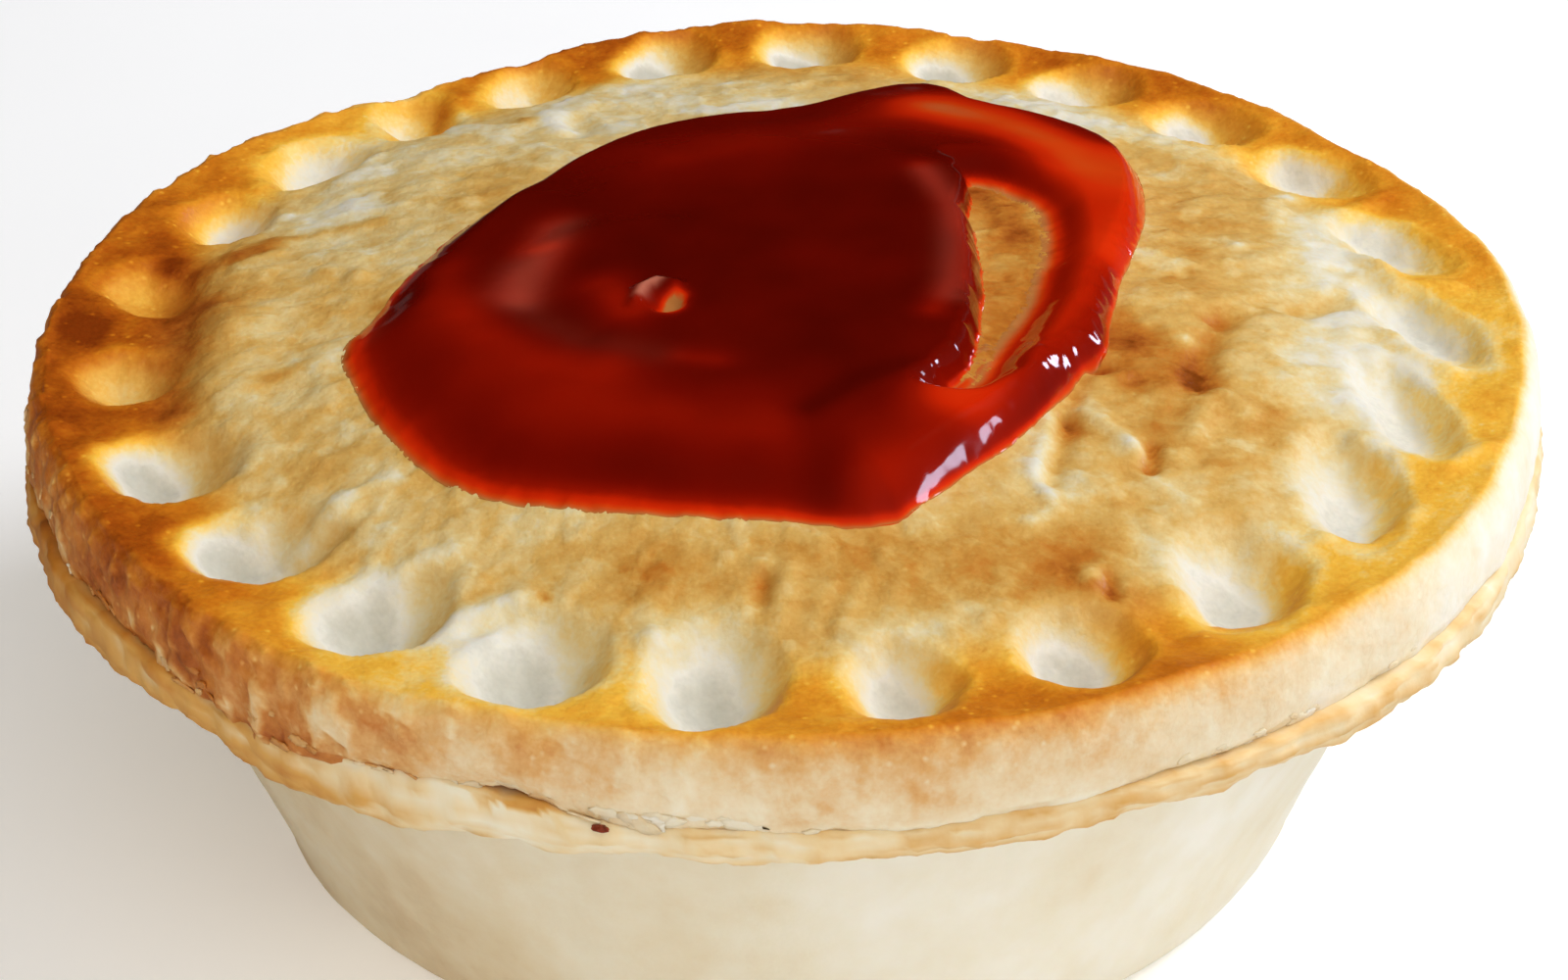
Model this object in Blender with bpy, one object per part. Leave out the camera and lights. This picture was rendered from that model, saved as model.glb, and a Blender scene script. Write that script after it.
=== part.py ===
"""A round meat pie: a tapered pastry case, a crimped lid and a pool of tomato sauce.

The case is solid pastry and filling up to the seam, where its thin flange stands out.
The lid covers it: a low dome, a ring of slanting thumb pits, and a rim whose outer wall
drops to the seam. The sauce lies on the dome, and a crescent of bare crust shows in it.

Metres, +Z up. The origin is the centre of the base, and bearings run anticlockwise
from +X as seen from above. Sizes below are in millimetres and degrees. A wave is its
size, the number of its turns round the pie, and the bearing by which it is shifted.
"""

import math

import bmesh
import bpy
import numpy as np

MM = 0.001

# Pastry case
BASE_RADIUS = 40.1
BASE_ROUNDING = 2.2
ROUNDING_STEPS = 3
CASE_TOP_RADIUS = 49.9
FLANGE_FILLET = 1.4
FLANGE_UNDERSIDE = 29.0
FLANGE_RADIUS = 56.0
FLANGE_LIP = 0.5
FLANGE_SAG = 1.5
FLANGE_SAG_BEARING = 238.5
FLANGE_SAG_SPREAD = 9.5
FLANGE_RADIUS_WAVES = ((0.4, 3, 200), (0.25, 7, 60))
FLANGE_UNDERSIDE_WAVES = ((0.3, 5, 20),)

# Seam between the case and the lid
SEAM_HEIGHT = 31.3
SEAM_GAP = 0.3

# Lid
CREST_RADIUS = 54.0
CREST_HEIGHT = 37.8
DOME_RADIUS = 43.0
DOME_RISE = 4.5
CREST_INNER_SLOPE = 0.15
CREST_RADIUS_WAVES = ((0.3, 3, 40), (0.2, 8, 10))
CREST_HEIGHT_WAVES = ((0.2, 4, 100), (0.15, 9, 30))
UNEVEN_FROM = 38.0
UNEVEN_FULLY_AT = 52.0
RIM_DIP_BEARING = 124.0
RIM_DIP_SPREAD = 14.0
RIM_DIP_DEPTH = 1.2
RIM_DIP_INSET = 1.2
# Outer wall of the lid: how far each step stands out from the crest, and its share
# of the height from the seam up to the crest.
LID_WALL = ((0.6, 0.93), (1.15, 0.76), (1.5, 0.5), (1.5, 0.15), (1.2, 0.0))

# Thumb pits in the lid
PIT_COUNT = 24
FIRST_PIT_BEARING = 9.0
PIT_RADIUS = 49.2
PIT_HALF_WIDTH = 5.6
PIT_INNER_LENGTH = 6.8
PIT_OUTER_LENGTH = 4.0
PIT_DEPTH = 3.8
PIT_SKEW = 0.42
PIT_FLOOR_SHARE = 0.2
PIT_DEPTH_SPREAD = 0.12
PIT_PLACE_SPREAD = 0.5
SHALLOW_PITS = {174.0: 0.5, 189.0: 0.6}
WIDE_PITS = {144.0: 1.3}

# Tomato sauce: its reach from the centre at each bearing
SAUCE_REACH = {
    0: 25.0, 15: 27.5, 30: 32.0, 42: 35.4, 52: 35.6, 62: 33.8, 70: 35.4, 79: 33.4,
    88: 28.6, 102: 27.4, 130: 25.2, 150: 24.6, 172: 27.0, 186: 30.0, 196: 32.8,
    224: 34.6, 242: 33.6, 262: 32.0, 280: 32.8, 289: 30.8, 304: 27.8, 320: 26.0,
    342: 24.6,
}
SAUCE_EDGE_HEIGHT = 1.5
SAUCE_EDGE_WIDTH = 2.2
SAUCE_POOL_RISE = 0.4
SAUCE_POOL_FROM = 2.0
SAUCE_POOL_FULLY_AT = 14.0
SAUCE_ROUNDING = 8.0
STRAND_RISE = 1.1
STRAND_INSET = 5.0
STRAND_WIDTH = 3.0
STRAND_MID_BEARING = 5.0
STRAND_SPREAD = 75.0

# Crescent of bare crust in the sauce: bearing, middle radius and half width
CRESCENT = (
    (44, 21.3, 0.4), (36, 20.2, 1.8), (25, 18.8, 3.0), (10, 17.0, 2.6),
    (-5, 16.4, 1.9), (-22, 16.7, 1.2), (-38, 18.4, 0.5),
)
CRESCENT_STEP = 4
CUTTER_BELOW_CREST = 2.0
CUTTER_ABOVE_CREST = 12.0

# How finely the shapes are divided
LID_COLUMNS = 168
LID_CENTRE_RINGS = ((9.0, 4), (19.0, 2), (29.0, 2), (37.0, 1))
LID_PIT_RINGS = (41.5, 43.5, 45.4, 47.2, 48.9, 50.3, 51.5, 52.5, 53.3)
CASE_COLUMNS = 84
SAUCE_COLUMNS = 72
SAUCE_TOP_SHARES = (0.25, 0.5, 0.68, 0.78, 0.86, 0.92, 0.96, 0.985)
SAUCE_UNDER_SHARES = (0.7, 0.35)


def clear_scene():
    """Removes every object, so that the script can run again in the same file."""
    for obj in list(bpy.data.objects):
        bpy.data.objects.remove(obj, do_unlink=True)


def food_material(name, colour, roughness):
    """A plain Principled material for one kind of food."""
    material = bpy.data.materials.new(name)
    material.use_nodes = True
    shader = material.node_tree.nodes["Principled BSDF"]
    shader.inputs["Base Color"].default_value = (*colour, 1.0)
    shader.inputs["Roughness"].default_value = roughness
    shader.inputs["Metallic"].default_value = 0.0
    material.diffuse_color = (*colour, 1.0)
    return material


def bearings(count):
    """Evenly spaced bearings round the pie, in degrees, the first on a pit."""
    return FIRST_PIT_BEARING + np.arange(count) * 360.0 / count


def turn_between(bearing, middle):
    """Signed turn from middle to bearing, from -180 to 180 degrees."""
    return (bearing - middle + 180.0) % 360.0 - 180.0


def swell(bearing, middle, spread):
    """A bell of height 1 at the middle bearing that dies away over spread."""
    return np.exp(-((turn_between(bearing, middle) / spread) ** 2))


def smooth_step(low, high, value):
    """0 below low, 1 above high, and an S-curve between them."""
    share = np.clip((value - low) / (high - low), 0.0, 1.0)
    return share * share * (3.0 - 2.0 * share)


def sum_of_waves(bearing, waves):
    """Unevenness round the pie, added up from a few sines."""
    return sum(
        size * np.sin(np.radians(turns * bearing + shift))
        for size, turns, shift in waves
    )


def rim_dip(bearing):
    """Share of the dip in the rim at a bearing."""
    return swell(bearing, RIM_DIP_BEARING, RIM_DIP_SPREAD)


def crest_radius(bearing):
    """Radius of the rim's crest: hand-shaped, with one stretch pushed in."""
    uneven = sum_of_waves(bearing, CREST_RADIUS_WAVES)
    return CREST_RADIUS + uneven - RIM_DIP_INSET * rim_dip(bearing)


def crest_height(bearing):
    """Height of the rim's crest above the base, lower where it is pushed in."""
    uneven = sum_of_waves(bearing, CREST_HEIGHT_WAVES)
    return CREST_HEIGHT + uneven - RIM_DIP_DEPTH * rim_dip(bearing)


def pit_depth(radius, bearing):
    """Depth of the thumb pits at a place on the lid.

    Each pit is an oval bowl whose axis slants off the radius, with a flat floor and
    walls that follow an S-curve. Its depth and place differ a little from the next
    one's, by sines of its number.
    """
    depth = np.zeros_like(np.broadcast_arrays(radius, bearing)[0], dtype=float)
    out = radius - PIT_RADIUS
    length = np.where(out < 0, PIT_INNER_LENGTH, PIT_OUTER_LENGTH)
    for number in range(PIT_COUNT):
        middle = FIRST_PIT_BEARING + number * 360.0 / PIT_COUNT
        nudge = PIT_PLACE_SPREAD * math.sin(3.9 * number + 0.4)
        along_rim = np.radians(turn_between(bearing, middle)) * PIT_RADIUS
        across = along_rim - nudge + PIT_SKEW * out
        half_width = PIT_HALF_WIDTH * WIDE_PITS.get(middle, 1.0)
        share = np.hypot(across / half_width, out / length)
        bowl = 1.0 - smooth_step(PIT_FLOOR_SHARE, 1.0, share)
        uneven = 1.0 + PIT_DEPTH_SPREAD * math.sin(2.4 * number + 0.7)
        deepest = PIT_DEPTH * uneven * SHALLOW_PITS.get(middle, 1.0)
        depth = np.maximum(depth, deepest * bowl)
    return depth


def lid_height(radius, bearing):
    """Height of the lid's upper surface: dome, shallow trough, pits and crest.

    The dome is a paraboloid. A cubic carries its slope on to the crest, and dips a
    little on the way.
    """
    rim = crest_height(bearing)
    rise = DOME_RISE * (1.0 - (radius / DOME_RADIUS) ** 2)
    run = CREST_RADIUS - DOME_RADIUS
    along = np.clip((radius - DOME_RADIUS) / run, 0.0, 1.0)
    edge_slope = -2.0 * DOME_RISE / DOME_RADIUS
    trough = run * (
        edge_slope * (along**3 - 2 * along**2 + along)
        + CREST_INNER_SLOPE * (along**3 - along**2)
    )
    uneven = (rim - CREST_HEIGHT) * smooth_step(UNEVEN_FROM, UNEVEN_FULLY_AT, radius)
    surface = CREST_HEIGHT + np.where(radius < DOME_RADIUS, rise, trough) + uneven
    return surface - pit_depth(radius, bearing)


def ring_points(radius, bearing, height):
    """Points of one ring, in metres."""
    turn = np.radians(bearing)
    height = np.broadcast_to(height, turn.shape)
    points = np.stack([radius * np.cos(turn), radius * np.sin(turn), height], axis=1)
    return points * MM


def add_ring(mesh, points):
    """The vertices of one ring."""
    return [mesh.verts.new(point) for point in points]


def join_rings(mesh, outer, inner):
    """Faces from one ring to the next one up or in.

    The next ring may have fewer points, by a whole number: then each of its edges
    takes a fan of triangles.
    """
    many = len(outer)
    step = many // len(inner)
    for index, near in enumerate(inner):
        after = inner[(index + 1) % len(inner)]
        fan = [outer[(index * step + turn) % many] for turn in range(step + 1)]
        if step == 1:
            mesh.faces.new((fan[0], fan[1], after, near))
            continue
        half = step // 2
        for turn in range(step):
            mesh.faces.new((fan[turn], fan[turn + 1], near if turn < half else after))
        mesh.faces.new((fan[half], after, near))


def close_ring(mesh, ring, tip):
    """A fan of triangles from a ring to one point."""
    for index, near in enumerate(ring):
        mesh.faces.new((near, ring[(index + 1) % len(ring)], tip))


def add_object(mesh, name, material, sharp_angle=50.0):
    """Turns a bmesh into a smooth-shaded object with outward faces."""
    bmesh.ops.recalc_face_normals(mesh, faces=mesh.faces)
    data = bpy.data.meshes.new(name)
    mesh.to_mesh(data)
    mesh.free()
    data.shade_smooth()
    data.set_sharp_from_angle(angle=math.radians(sharp_angle))
    data.materials.append(material)
    obj = bpy.data.objects.new(name, data)
    bpy.context.scene.collection.objects.link(obj)
    return obj


def case_profile(turn):
    """Rings of the case from the base up, as (radius, height) for each bearing."""
    arc = np.radians(np.linspace(-90.0, 0.0, ROUNDING_STEPS + 1))
    centre = BASE_RADIUS - BASE_ROUNDING
    rings = [
        (centre + BASE_ROUNDING * math.cos(a), BASE_ROUNDING * (1 + math.sin(a)))
        for a in arc
    ]
    lip = FLANGE_RADIUS + sum_of_waves(turn, FLANGE_RADIUS_WAVES)
    sag = FLANGE_SAG * swell(turn, FLANGE_SAG_BEARING, FLANGE_SAG_SPREAD)
    under = FLANGE_UNDERSIDE - sag + sum_of_waves(turn, FLANGE_UNDERSIDE_WAVES)
    top = SEAM_HEIGHT - SEAM_GAP / 2
    return rings + [
        (CASE_TOP_RADIUS, under - FLANGE_FILLET),
        (CASE_TOP_RADIUS + 0.3 * FLANGE_FILLET, under - 0.3 * FLANGE_FILLET),
        (CASE_TOP_RADIUS + FLANGE_FILLET, under),
        (lip - FLANGE_LIP, under),
        (lip, under + FLANGE_LIP),
        (lip, top - FLANGE_LIP),
        (lip - FLANGE_LIP, top),
    ]


def build_case(material):
    """Tapered case with its flange, filled solid up to the seam."""
    mesh = bmesh.new()
    turn = bearings(CASE_COLUMNS)
    rings = [
        add_ring(mesh, ring_points(np.broadcast_to(radius, turn.shape), turn, height))
        for radius, height in case_profile(turn)
    ]
    mesh.faces.new(rings[0])
    for lower, upper in zip(rings, rings[1:]):
        join_rings(mesh, lower, upper)
    mesh.faces.new(rings[-1])
    return add_object(mesh, "pastry_case", material)


def build_lid(material):
    """Domed lid with its ring of pits, its crest and its outer wall."""
    mesh = bmesh.new()
    turn = bearings(LID_COLUMNS)
    crest = crest_radius(turn)
    top = crest_height(turn)
    foot = SEAM_HEIGHT + SEAM_GAP / 2
    rings = [
        add_ring(mesh, ring_points(crest + out, turn, foot + share * (top - foot)))
        for out, share in reversed(LID_WALL)
    ]
    mesh.faces.new(rings[0])
    rings.append(add_ring(mesh, ring_points(crest, turn, top)))
    for radius in reversed(LID_PIT_RINGS):
        share = smooth_step(DOME_RADIUS, CREST_RADIUS, radius)
        placed = radius + share * (crest - CREST_RADIUS)
        rings.append(
            add_ring(mesh, ring_points(placed, turn, lid_height(radius, turn)))
        )
    for radius, fewer in reversed(LID_CENTRE_RINGS):
        sparse = turn[::fewer]
        points = ring_points(radius, sparse, lid_height(radius, sparse))
        rings.append(add_ring(mesh, points))
    for lower, upper in zip(rings, rings[1:]):
        join_rings(mesh, lower, upper)
    tip = mesh.verts.new((0.0, 0.0, float(lid_height(0.0, 0.0)) * MM))
    close_ring(mesh, rings[-1], tip)
    return add_object(mesh, "pastry_lid", material)


def sauce_reach(bearing):
    """How far the sauce reaches at a bearing: straight lines between the named
    places, rounded by averaging over a few degrees."""
    places = np.array(sorted(SAUCE_REACH), dtype=float)
    reach = np.array([SAUCE_REACH[place] for place in sorted(SAUCE_REACH)])
    spread = np.linspace(-SAUCE_ROUNDING, SAUCE_ROUNDING, 9)
    around = np.asarray(bearing)[..., None] + spread
    return np.interp(around, places, reach, period=360.0).mean(axis=-1)


def sauce_thickness(radius, bearing):
    """Thickness of the sauce: a rounded edge, a pool and the last strand's ridge."""
    inset = sauce_reach(bearing) - radius
    edge = np.clip(1.0 - inset / SAUCE_EDGE_WIDTH, 0.0, 1.0)
    strand = np.exp(-(((inset - STRAND_INSET) / STRAND_WIDTH) ** 2))
    strand = strand * swell(bearing, STRAND_MID_BEARING, STRAND_SPREAD)
    pool = smooth_step(SAUCE_POOL_FROM, SAUCE_POOL_FULLY_AT, inset)
    body = SAUCE_EDGE_HEIGHT + SAUCE_POOL_RISE * pool
    return (body + STRAND_RISE * strand) * np.sqrt(1.0 - edge**2)


def crescent_cutter():
    """Upright block in the shape of the crescent, hidden, which the sauce is cut by."""
    places = np.array([row[0] for row in reversed(CRESCENT)], dtype=float)
    middle = np.array([row[1] for row in reversed(CRESCENT)])
    half = np.array([row[2] for row in reversed(CRESCENT)])
    turn = np.arange(places[0], places[-1] + 1, CRESCENT_STEP)
    outer = np.interp(turn, places, middle + half)
    inner = np.interp(turn, places, middle - half)
    loop_radius = np.concatenate([outer, inner[::-1]])
    loop_turn = np.concatenate([turn, turn[::-1]])
    mesh = bmesh.new()
    low = CREST_HEIGHT - CUTTER_BELOW_CREST
    high = CREST_HEIGHT + CUTTER_ABOVE_CREST
    floor = add_ring(mesh, ring_points(loop_radius, loop_turn, low))
    roof = add_ring(mesh, ring_points(loop_radius, loop_turn, high))
    mesh.faces.new(floor)
    mesh.faces.new(roof)
    join_rings(mesh, floor, roof)
    cutter = add_object(mesh, "crescent_cutter", food_material("cutter", (1, 1, 1), 1))
    cutter.hide_render = True
    cutter.display_type = "WIRE"
    return cutter


def build_sauce(material):
    """Pool of sauce that lies on the dome, cut through by the crescent."""
    mesh = bmesh.new()
    turn = bearings(SAUCE_COLUMNS)
    reach = sauce_reach(turn)

    def surface(share, thickness):
        radius = reach * share
        height = lid_height(radius, turn) + SEAM_GAP + thickness
        return add_ring(mesh, ring_points(radius, turn, height))

    under = [surface(share, 0.0) for share in reversed(SAUCE_UNDER_SHARES)]
    edge = surface(1.0, 0.0)
    top = [
        surface(share, sauce_thickness(reach * share, turn))
        for share in reversed(SAUCE_TOP_SHARES)
    ]
    rings = under + [edge] + top
    for near, far in zip(rings, rings[1:]):
        join_rings(mesh, near, far)
    centre = float(lid_height(0.0, 0.0)) + SEAM_GAP
    thick = SAUCE_EDGE_HEIGHT + SAUCE_POOL_RISE
    close_ring(mesh, under[0], mesh.verts.new((0.0, 0.0, centre * MM)))
    close_ring(mesh, top[-1], mesh.verts.new((0.0, 0.0, (centre + thick) * MM)))
    sauce = add_object(mesh, "tomato_sauce", material)
    cut = sauce.modifiers.new("crescent", "BOOLEAN")
    cut.operation = "DIFFERENCE"
    cut.solver = "EXACT"
    cut.object = crescent_cutter()
    return sauce


def main():
    """Builds the pie."""
    clear_scene()
    case_pastry = food_material("shortcrust_pastry", (0.80, 0.68, 0.45), 0.7)
    lid_pastry = food_material("baked_lid_pastry", (0.70, 0.43, 0.16), 0.55)
    sauce = food_material("tomato_sauce", (0.36, 0.015, 0.005), 0.12)
    build_case(case_pastry)
    build_lid(lid_pastry)
    build_sauce(sauce)


main()
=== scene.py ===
"""Looks of a hand-size meat pie with tomato sauce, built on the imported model.

The pie is three closed surfaces worked out on rings of points: the lid with its dome,
thumb pits and rim, the case with its flange, and the sauce with the crescent that it
leaves bare. Flakes and a drop of gravy lie on them.

Lengths are in millimetres and angles in degrees, from the row's origin at the centre of
the base, unless a name says metres. Bearings run anticlockwise from +X seen from above.
"""

import logging
import math
from dataclasses import dataclass, field
from enum import Enum
from itertools import product
from typing import Any

import bpy
import numpy as np
from mathutils import Matrix, Vector


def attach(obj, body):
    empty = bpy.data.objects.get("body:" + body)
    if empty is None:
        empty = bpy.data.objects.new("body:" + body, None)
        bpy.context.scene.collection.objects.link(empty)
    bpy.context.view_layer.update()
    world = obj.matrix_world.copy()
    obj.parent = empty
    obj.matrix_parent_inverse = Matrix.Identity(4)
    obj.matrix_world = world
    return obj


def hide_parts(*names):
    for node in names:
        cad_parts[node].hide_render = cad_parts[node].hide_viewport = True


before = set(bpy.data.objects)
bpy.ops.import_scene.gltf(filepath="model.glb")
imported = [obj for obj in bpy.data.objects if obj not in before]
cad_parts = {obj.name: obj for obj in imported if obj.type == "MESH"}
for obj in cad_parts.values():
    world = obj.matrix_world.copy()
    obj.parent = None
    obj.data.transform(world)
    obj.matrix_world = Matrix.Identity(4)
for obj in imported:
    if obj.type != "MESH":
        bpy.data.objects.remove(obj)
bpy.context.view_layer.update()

BODY = "root"
METRES = 0.001
# Brings gradient noise to about -1 to 1, and sets how thin its ridges are.
NOISE_GAIN = 1.7
RIDGE_GAIN = 2.2
LOG = logging.getLogger("meat_pie")

Array = np.ndarray
Stops = tuple[tuple[float, str], ...]
Table = dict[float, float]


# ---------------------------------------------------------------- numbers and noise


def smooth_step(low: float, high: float, value: Array) -> Array:
    """0 below low, 1 above high, and the S-curve 3s^2 - 2s^3 between them."""
    share = np.clip((value - low) / (high - low), 0.0, 1.0)
    return share * share * (3.0 - 2.0 * share)


def between(first: Array, second: Array, share: Array) -> Array:
    """Straight mix of two values: the first at share 0 and the second at share 1."""
    return first + (second - first) * share


def by_bearing(values: Table) -> Any:
    """A dataclass field whose default is this table of values by bearing."""
    return field(default_factory=lambda: dict(values))


def turn_from(bearing: Array, middle: float) -> Array:
    """Signed turn from middle to bearing, from -180 to 180 degrees."""
    return (bearing - middle + 180.0) % 360.0 - 180.0


def swell(bearing: Array, middle: float, spread: float) -> Array:
    """A bell of height 1 at the middle bearing: e to the minus (turn / spread)^2."""
    return np.exp(-((turn_from(bearing, middle) / spread) ** 2))


def ring_places(radius: Array, bearing: Array, height: Array = 0.0) -> Array:
    """Points at radii, bearings and heights, the last axis x, y, z."""
    turn = np.radians(bearing)
    return np.stack([radius * np.cos(turn), radius * np.sin(turn), height + 0 * turn], -1)


def flat_places(x: Array, y: Array) -> Array:
    """Points at height 0, where patterns for the lid's top are read."""
    return np.stack([x, y, 0 * x], -1)


def direction(bearing: float, elevation: float) -> tuple[float, float, float]:
    """Unit vector at a bearing and an elevation."""
    turn, lift = math.radians(bearing), math.radians(elevation)
    return math.cos(lift) * math.cos(turn), math.cos(lift) * math.sin(turn), math.sin(lift)


def sum_of_waves(bearing: Array, waves: tuple[tuple[float, int, float], ...]) -> Array:
    """Adds up sines round the pie.

    Args:
        bearing: Bearings in degrees.
        waves: For each sine its size, its turns round the pie and its shift.

    Returns:
        One sum for each bearing.
    """
    return sum(
        size * np.sin(np.radians(turns * bearing + shift))
        for size, turns, shift in waves
    )


def around(bearing: Array, table: Table) -> Array:
    """Reads a table of values round the pie along a smooth closed curve.

    Each stretch between two given bearings is a cubic whose end slopes are the slopes
    between the neighbours on either side.

    Args:
        bearing: Bearings in degrees.
        table: Values at a few bearings.

    Returns:
        One value for each bearing.
    """
    places = np.array(sorted(table), dtype=float)
    values = np.array([table[place] for place in places])
    ahead, behind = np.roll(values, -1), np.roll(values, 1)
    gap_ahead = (np.roll(places, -1) - places) % 360.0
    gap_behind = (places - np.roll(places, 1)) % 360.0
    slopes = (ahead - behind) / (gap_ahead + gap_behind)
    whole = np.asarray(bearing, dtype=float) % 360.0
    first = (np.searchsorted(places, whole, side="right") - 1) % len(places)
    gap = gap_ahead[first]
    t = ((whole - places[first]) % 360.0) / gap
    start, end = values[first], ahead[first]
    slope_start, slope_end = slopes[first] * gap, np.roll(slopes, -1)[first] * gap
    return (
        start * (2 * t**3 - 3 * t**2 + 1)
        + slope_start * (t**3 - 2 * t**2 + t)
        + end * (3 * t**2 - 2 * t**3)
        + slope_end * (t**3 - t**2)
    )


def scramble(cells: Array, seed: int) -> Array:
    """Turns whole-number cells into fixed pseudo-random 32-bit numbers.

    Args:
        cells: Whole coordinates, the last axis x, y, z.
        seed: Which pattern.

    Returns:
        One number from 0 to 2^32 - 1 for each cell.
    """
    mask = np.int64(0xFFFFFFFF)
    mixed = cells[..., 0] * 73856093 ^ cells[..., 1] * 19349663
    mixed = (mixed ^ cells[..., 2] * 83492791 ^ np.int64(seed) * 40503) & mask
    mixed = ((mixed ^ (mixed >> 15)) * 668265263) & mask
    mixed = ((mixed ^ (mixed >> 13)) * 374761393) & mask
    return mixed ^ (mixed >> 16)


def gradient_noise(points: Array, size: float, seed: int) -> Array:
    """Smooth noise: random slopes at the corners of cubes, blended by a quintic.

    Args:
        points: Places in millimetres, the last axis x, y, z.
        size: Side of one cube in millimetres.
        seed: Which pattern.

    Returns:
        A value of about -1 to 1 for each place.
    """
    scaled = points / size
    cells = np.floor(scaled).astype(np.int64)
    local = scaled - cells
    fade = local**3 * (local * (local * 6.0 - 15.0) + 10.0)
    total = np.zeros(points.shape[:-1])
    for corner in product((0, 1), repeat=3):
        numbers = scramble(cells + np.array(corner), seed)
        turn = (numbers & 0xFFFF) * (2.0 * math.pi / 65536.0)
        height = ((numbers >> 16) & 0xFFFF) / 32768.0 - 1.0
        reach = np.sqrt(1.0 - height**2)
        away = local - np.array(corner)
        slope = away[..., 0] * np.cos(turn) + away[..., 1] * np.sin(turn)
        weight = np.prod(np.where(np.array(corner) == 1, fade, 1.0 - fade), axis=-1)
        total += weight * (slope * reach + away[..., 2] * height)
    return total * NOISE_GAIN


def layered_noise(points: Array, size: float, seed: int, layers: int = 3) -> Array:
    """Gradient noise with finer layers added, each half as wide and half as strong."""
    total = sum(
        gradient_noise(points, size / 2**layer, seed + 17 * layer) / 2**layer
        for layer in range(layers)
    )
    return total / (2.0 - 2.0 ** (1 - layers))


@dataclass(frozen=True)
class Grain:
    """A pattern of layered noise.

    Attributes:
        strength: What the noise is multiplied by.
        size: Width of its broadest features.
        seed: Which pattern.
        layers: How many layers it has.
        squeeze: What x, y and z are multiplied by first: below 1 stretches it.
        ridged: Whether it is one layer of thin ridges.
    """

    strength: float
    size: float
    seed: int
    layers: int = 3
    squeeze: tuple[float, float, float] = (1.0, 1.0, 1.0)
    ridged: bool = False

    def at(self, points: Array) -> Array:
        """The pattern's value at every point."""
        places = points * self.squeeze
        if self.ridged:
            return self.strength * ridged_noise(places, self.size, self.seed)
        return self.strength * layered_noise(places, self.size, self.seed, self.layers)


def ridged_noise(points: Array, size: float, seed: int) -> Array:
    """Thin ridges, 1 where gradient noise crosses zero and 0 away from there."""
    away = np.clip(np.abs(gradient_noise(points, size, seed)) * RIDGE_GAIN, 0, 1)
    return (1.0 - away) ** 2


def cell_noise(points: Array, size: float, seed: int) -> tuple[Array, Array]:
    """Distance to the nearest of one random spot per cube.

    Args:
        points: Places in millimetres, the last axis x, y, z.
        size: Side of one cube in millimetres.
        seed: Which pattern.

    Returns:
        The distance as a share of the cube's side, and the spot's own number 0 to 1.
    """
    scaled = points / size
    cells = np.floor(scaled).astype(np.int64)
    nearest = np.full(points.shape[:-1], 9.0)
    chance = np.zeros(points.shape[:-1])
    for step in product((-1, 0, 1), repeat=3):
        there = cells + np.array(step)
        numbers = scramble(there, seed)
        spot = np.stack([(numbers >> bit & 0x3FF) / 1023.0 for bit in (0, 10, 20)], -1)
        distance = np.linalg.norm(there + spot - scaled, axis=-1)
        closer = distance < nearest
        nearest = np.where(closer, distance, nearest)
        chance = np.where(closer, (scramble(there, seed + 5) & 0xFFFF) / 65535.0, chance)
    return nearest, chance


def path_distance(x: Array, y: Array, path: tuple[tuple[float, float], ...]) -> tuple:
    """Distance from places to a line through points, seen from above.

    Args:
        x: East coordinates.
        y: North coordinates.
        path: The line's points in order; a single point is a spot.

    Returns:
        The distance, and +1 or -1 for the line's left or right side.
    """
    best = np.full(np.shape(x), 1e9)
    side = np.ones(np.shape(x))
    for (ax, ay), (bx, by) in zip(path, path[1:] or path):
        run_x, run_y = bx - ax, by - ay
        length = max(run_x**2 + run_y**2, 1e-9)
        share = np.clip(((x - ax) * run_x + (y - ay) * run_y) / length, 0.0, 1.0)
        gap_x, gap_y = x - ax - share * run_x, y - ay - share * run_y
        distance = np.hypot(gap_x, gap_y)
        left = np.where(run_x * gap_y - run_y * gap_x >= 0, 1.0, -1.0)
        side = np.where(distance < best, left, side)
        best = np.minimum(best, distance)
    return best, side


def smooth_path(points: tuple[tuple[float, float], ...], steps: int) -> Array:
    """Catmull-Rom curve through points, at even steps of its own parameter.

    Args:
        points: The points in order.
        steps: How many places are wanted, the first and last points among them.

    Returns:
        An array of steps rows of two coordinates.
    """
    given = np.array(points, dtype=float)
    ends = np.vstack([2 * given[0] - given[1], given, 2 * given[-1] - given[-2]])
    place = np.linspace(0.0, len(given) - 1.0, steps)
    first = np.minimum(place.astype(int), len(given) - 2)
    t = (place - first)[:, None]
    p0, p1, p2, p3 = (ends[first + shift] for shift in range(4))
    return 0.5 * (
        2 * p1
        + (p2 - p0) * t
        + (2 * p0 - 5 * p1 + 4 * p2 - p3) * t**2
        + (3 * p1 - p0 - 3 * p2 + p3) * t**3
    )


# ------------------------------------------------------------------ meshes from rings


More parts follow.
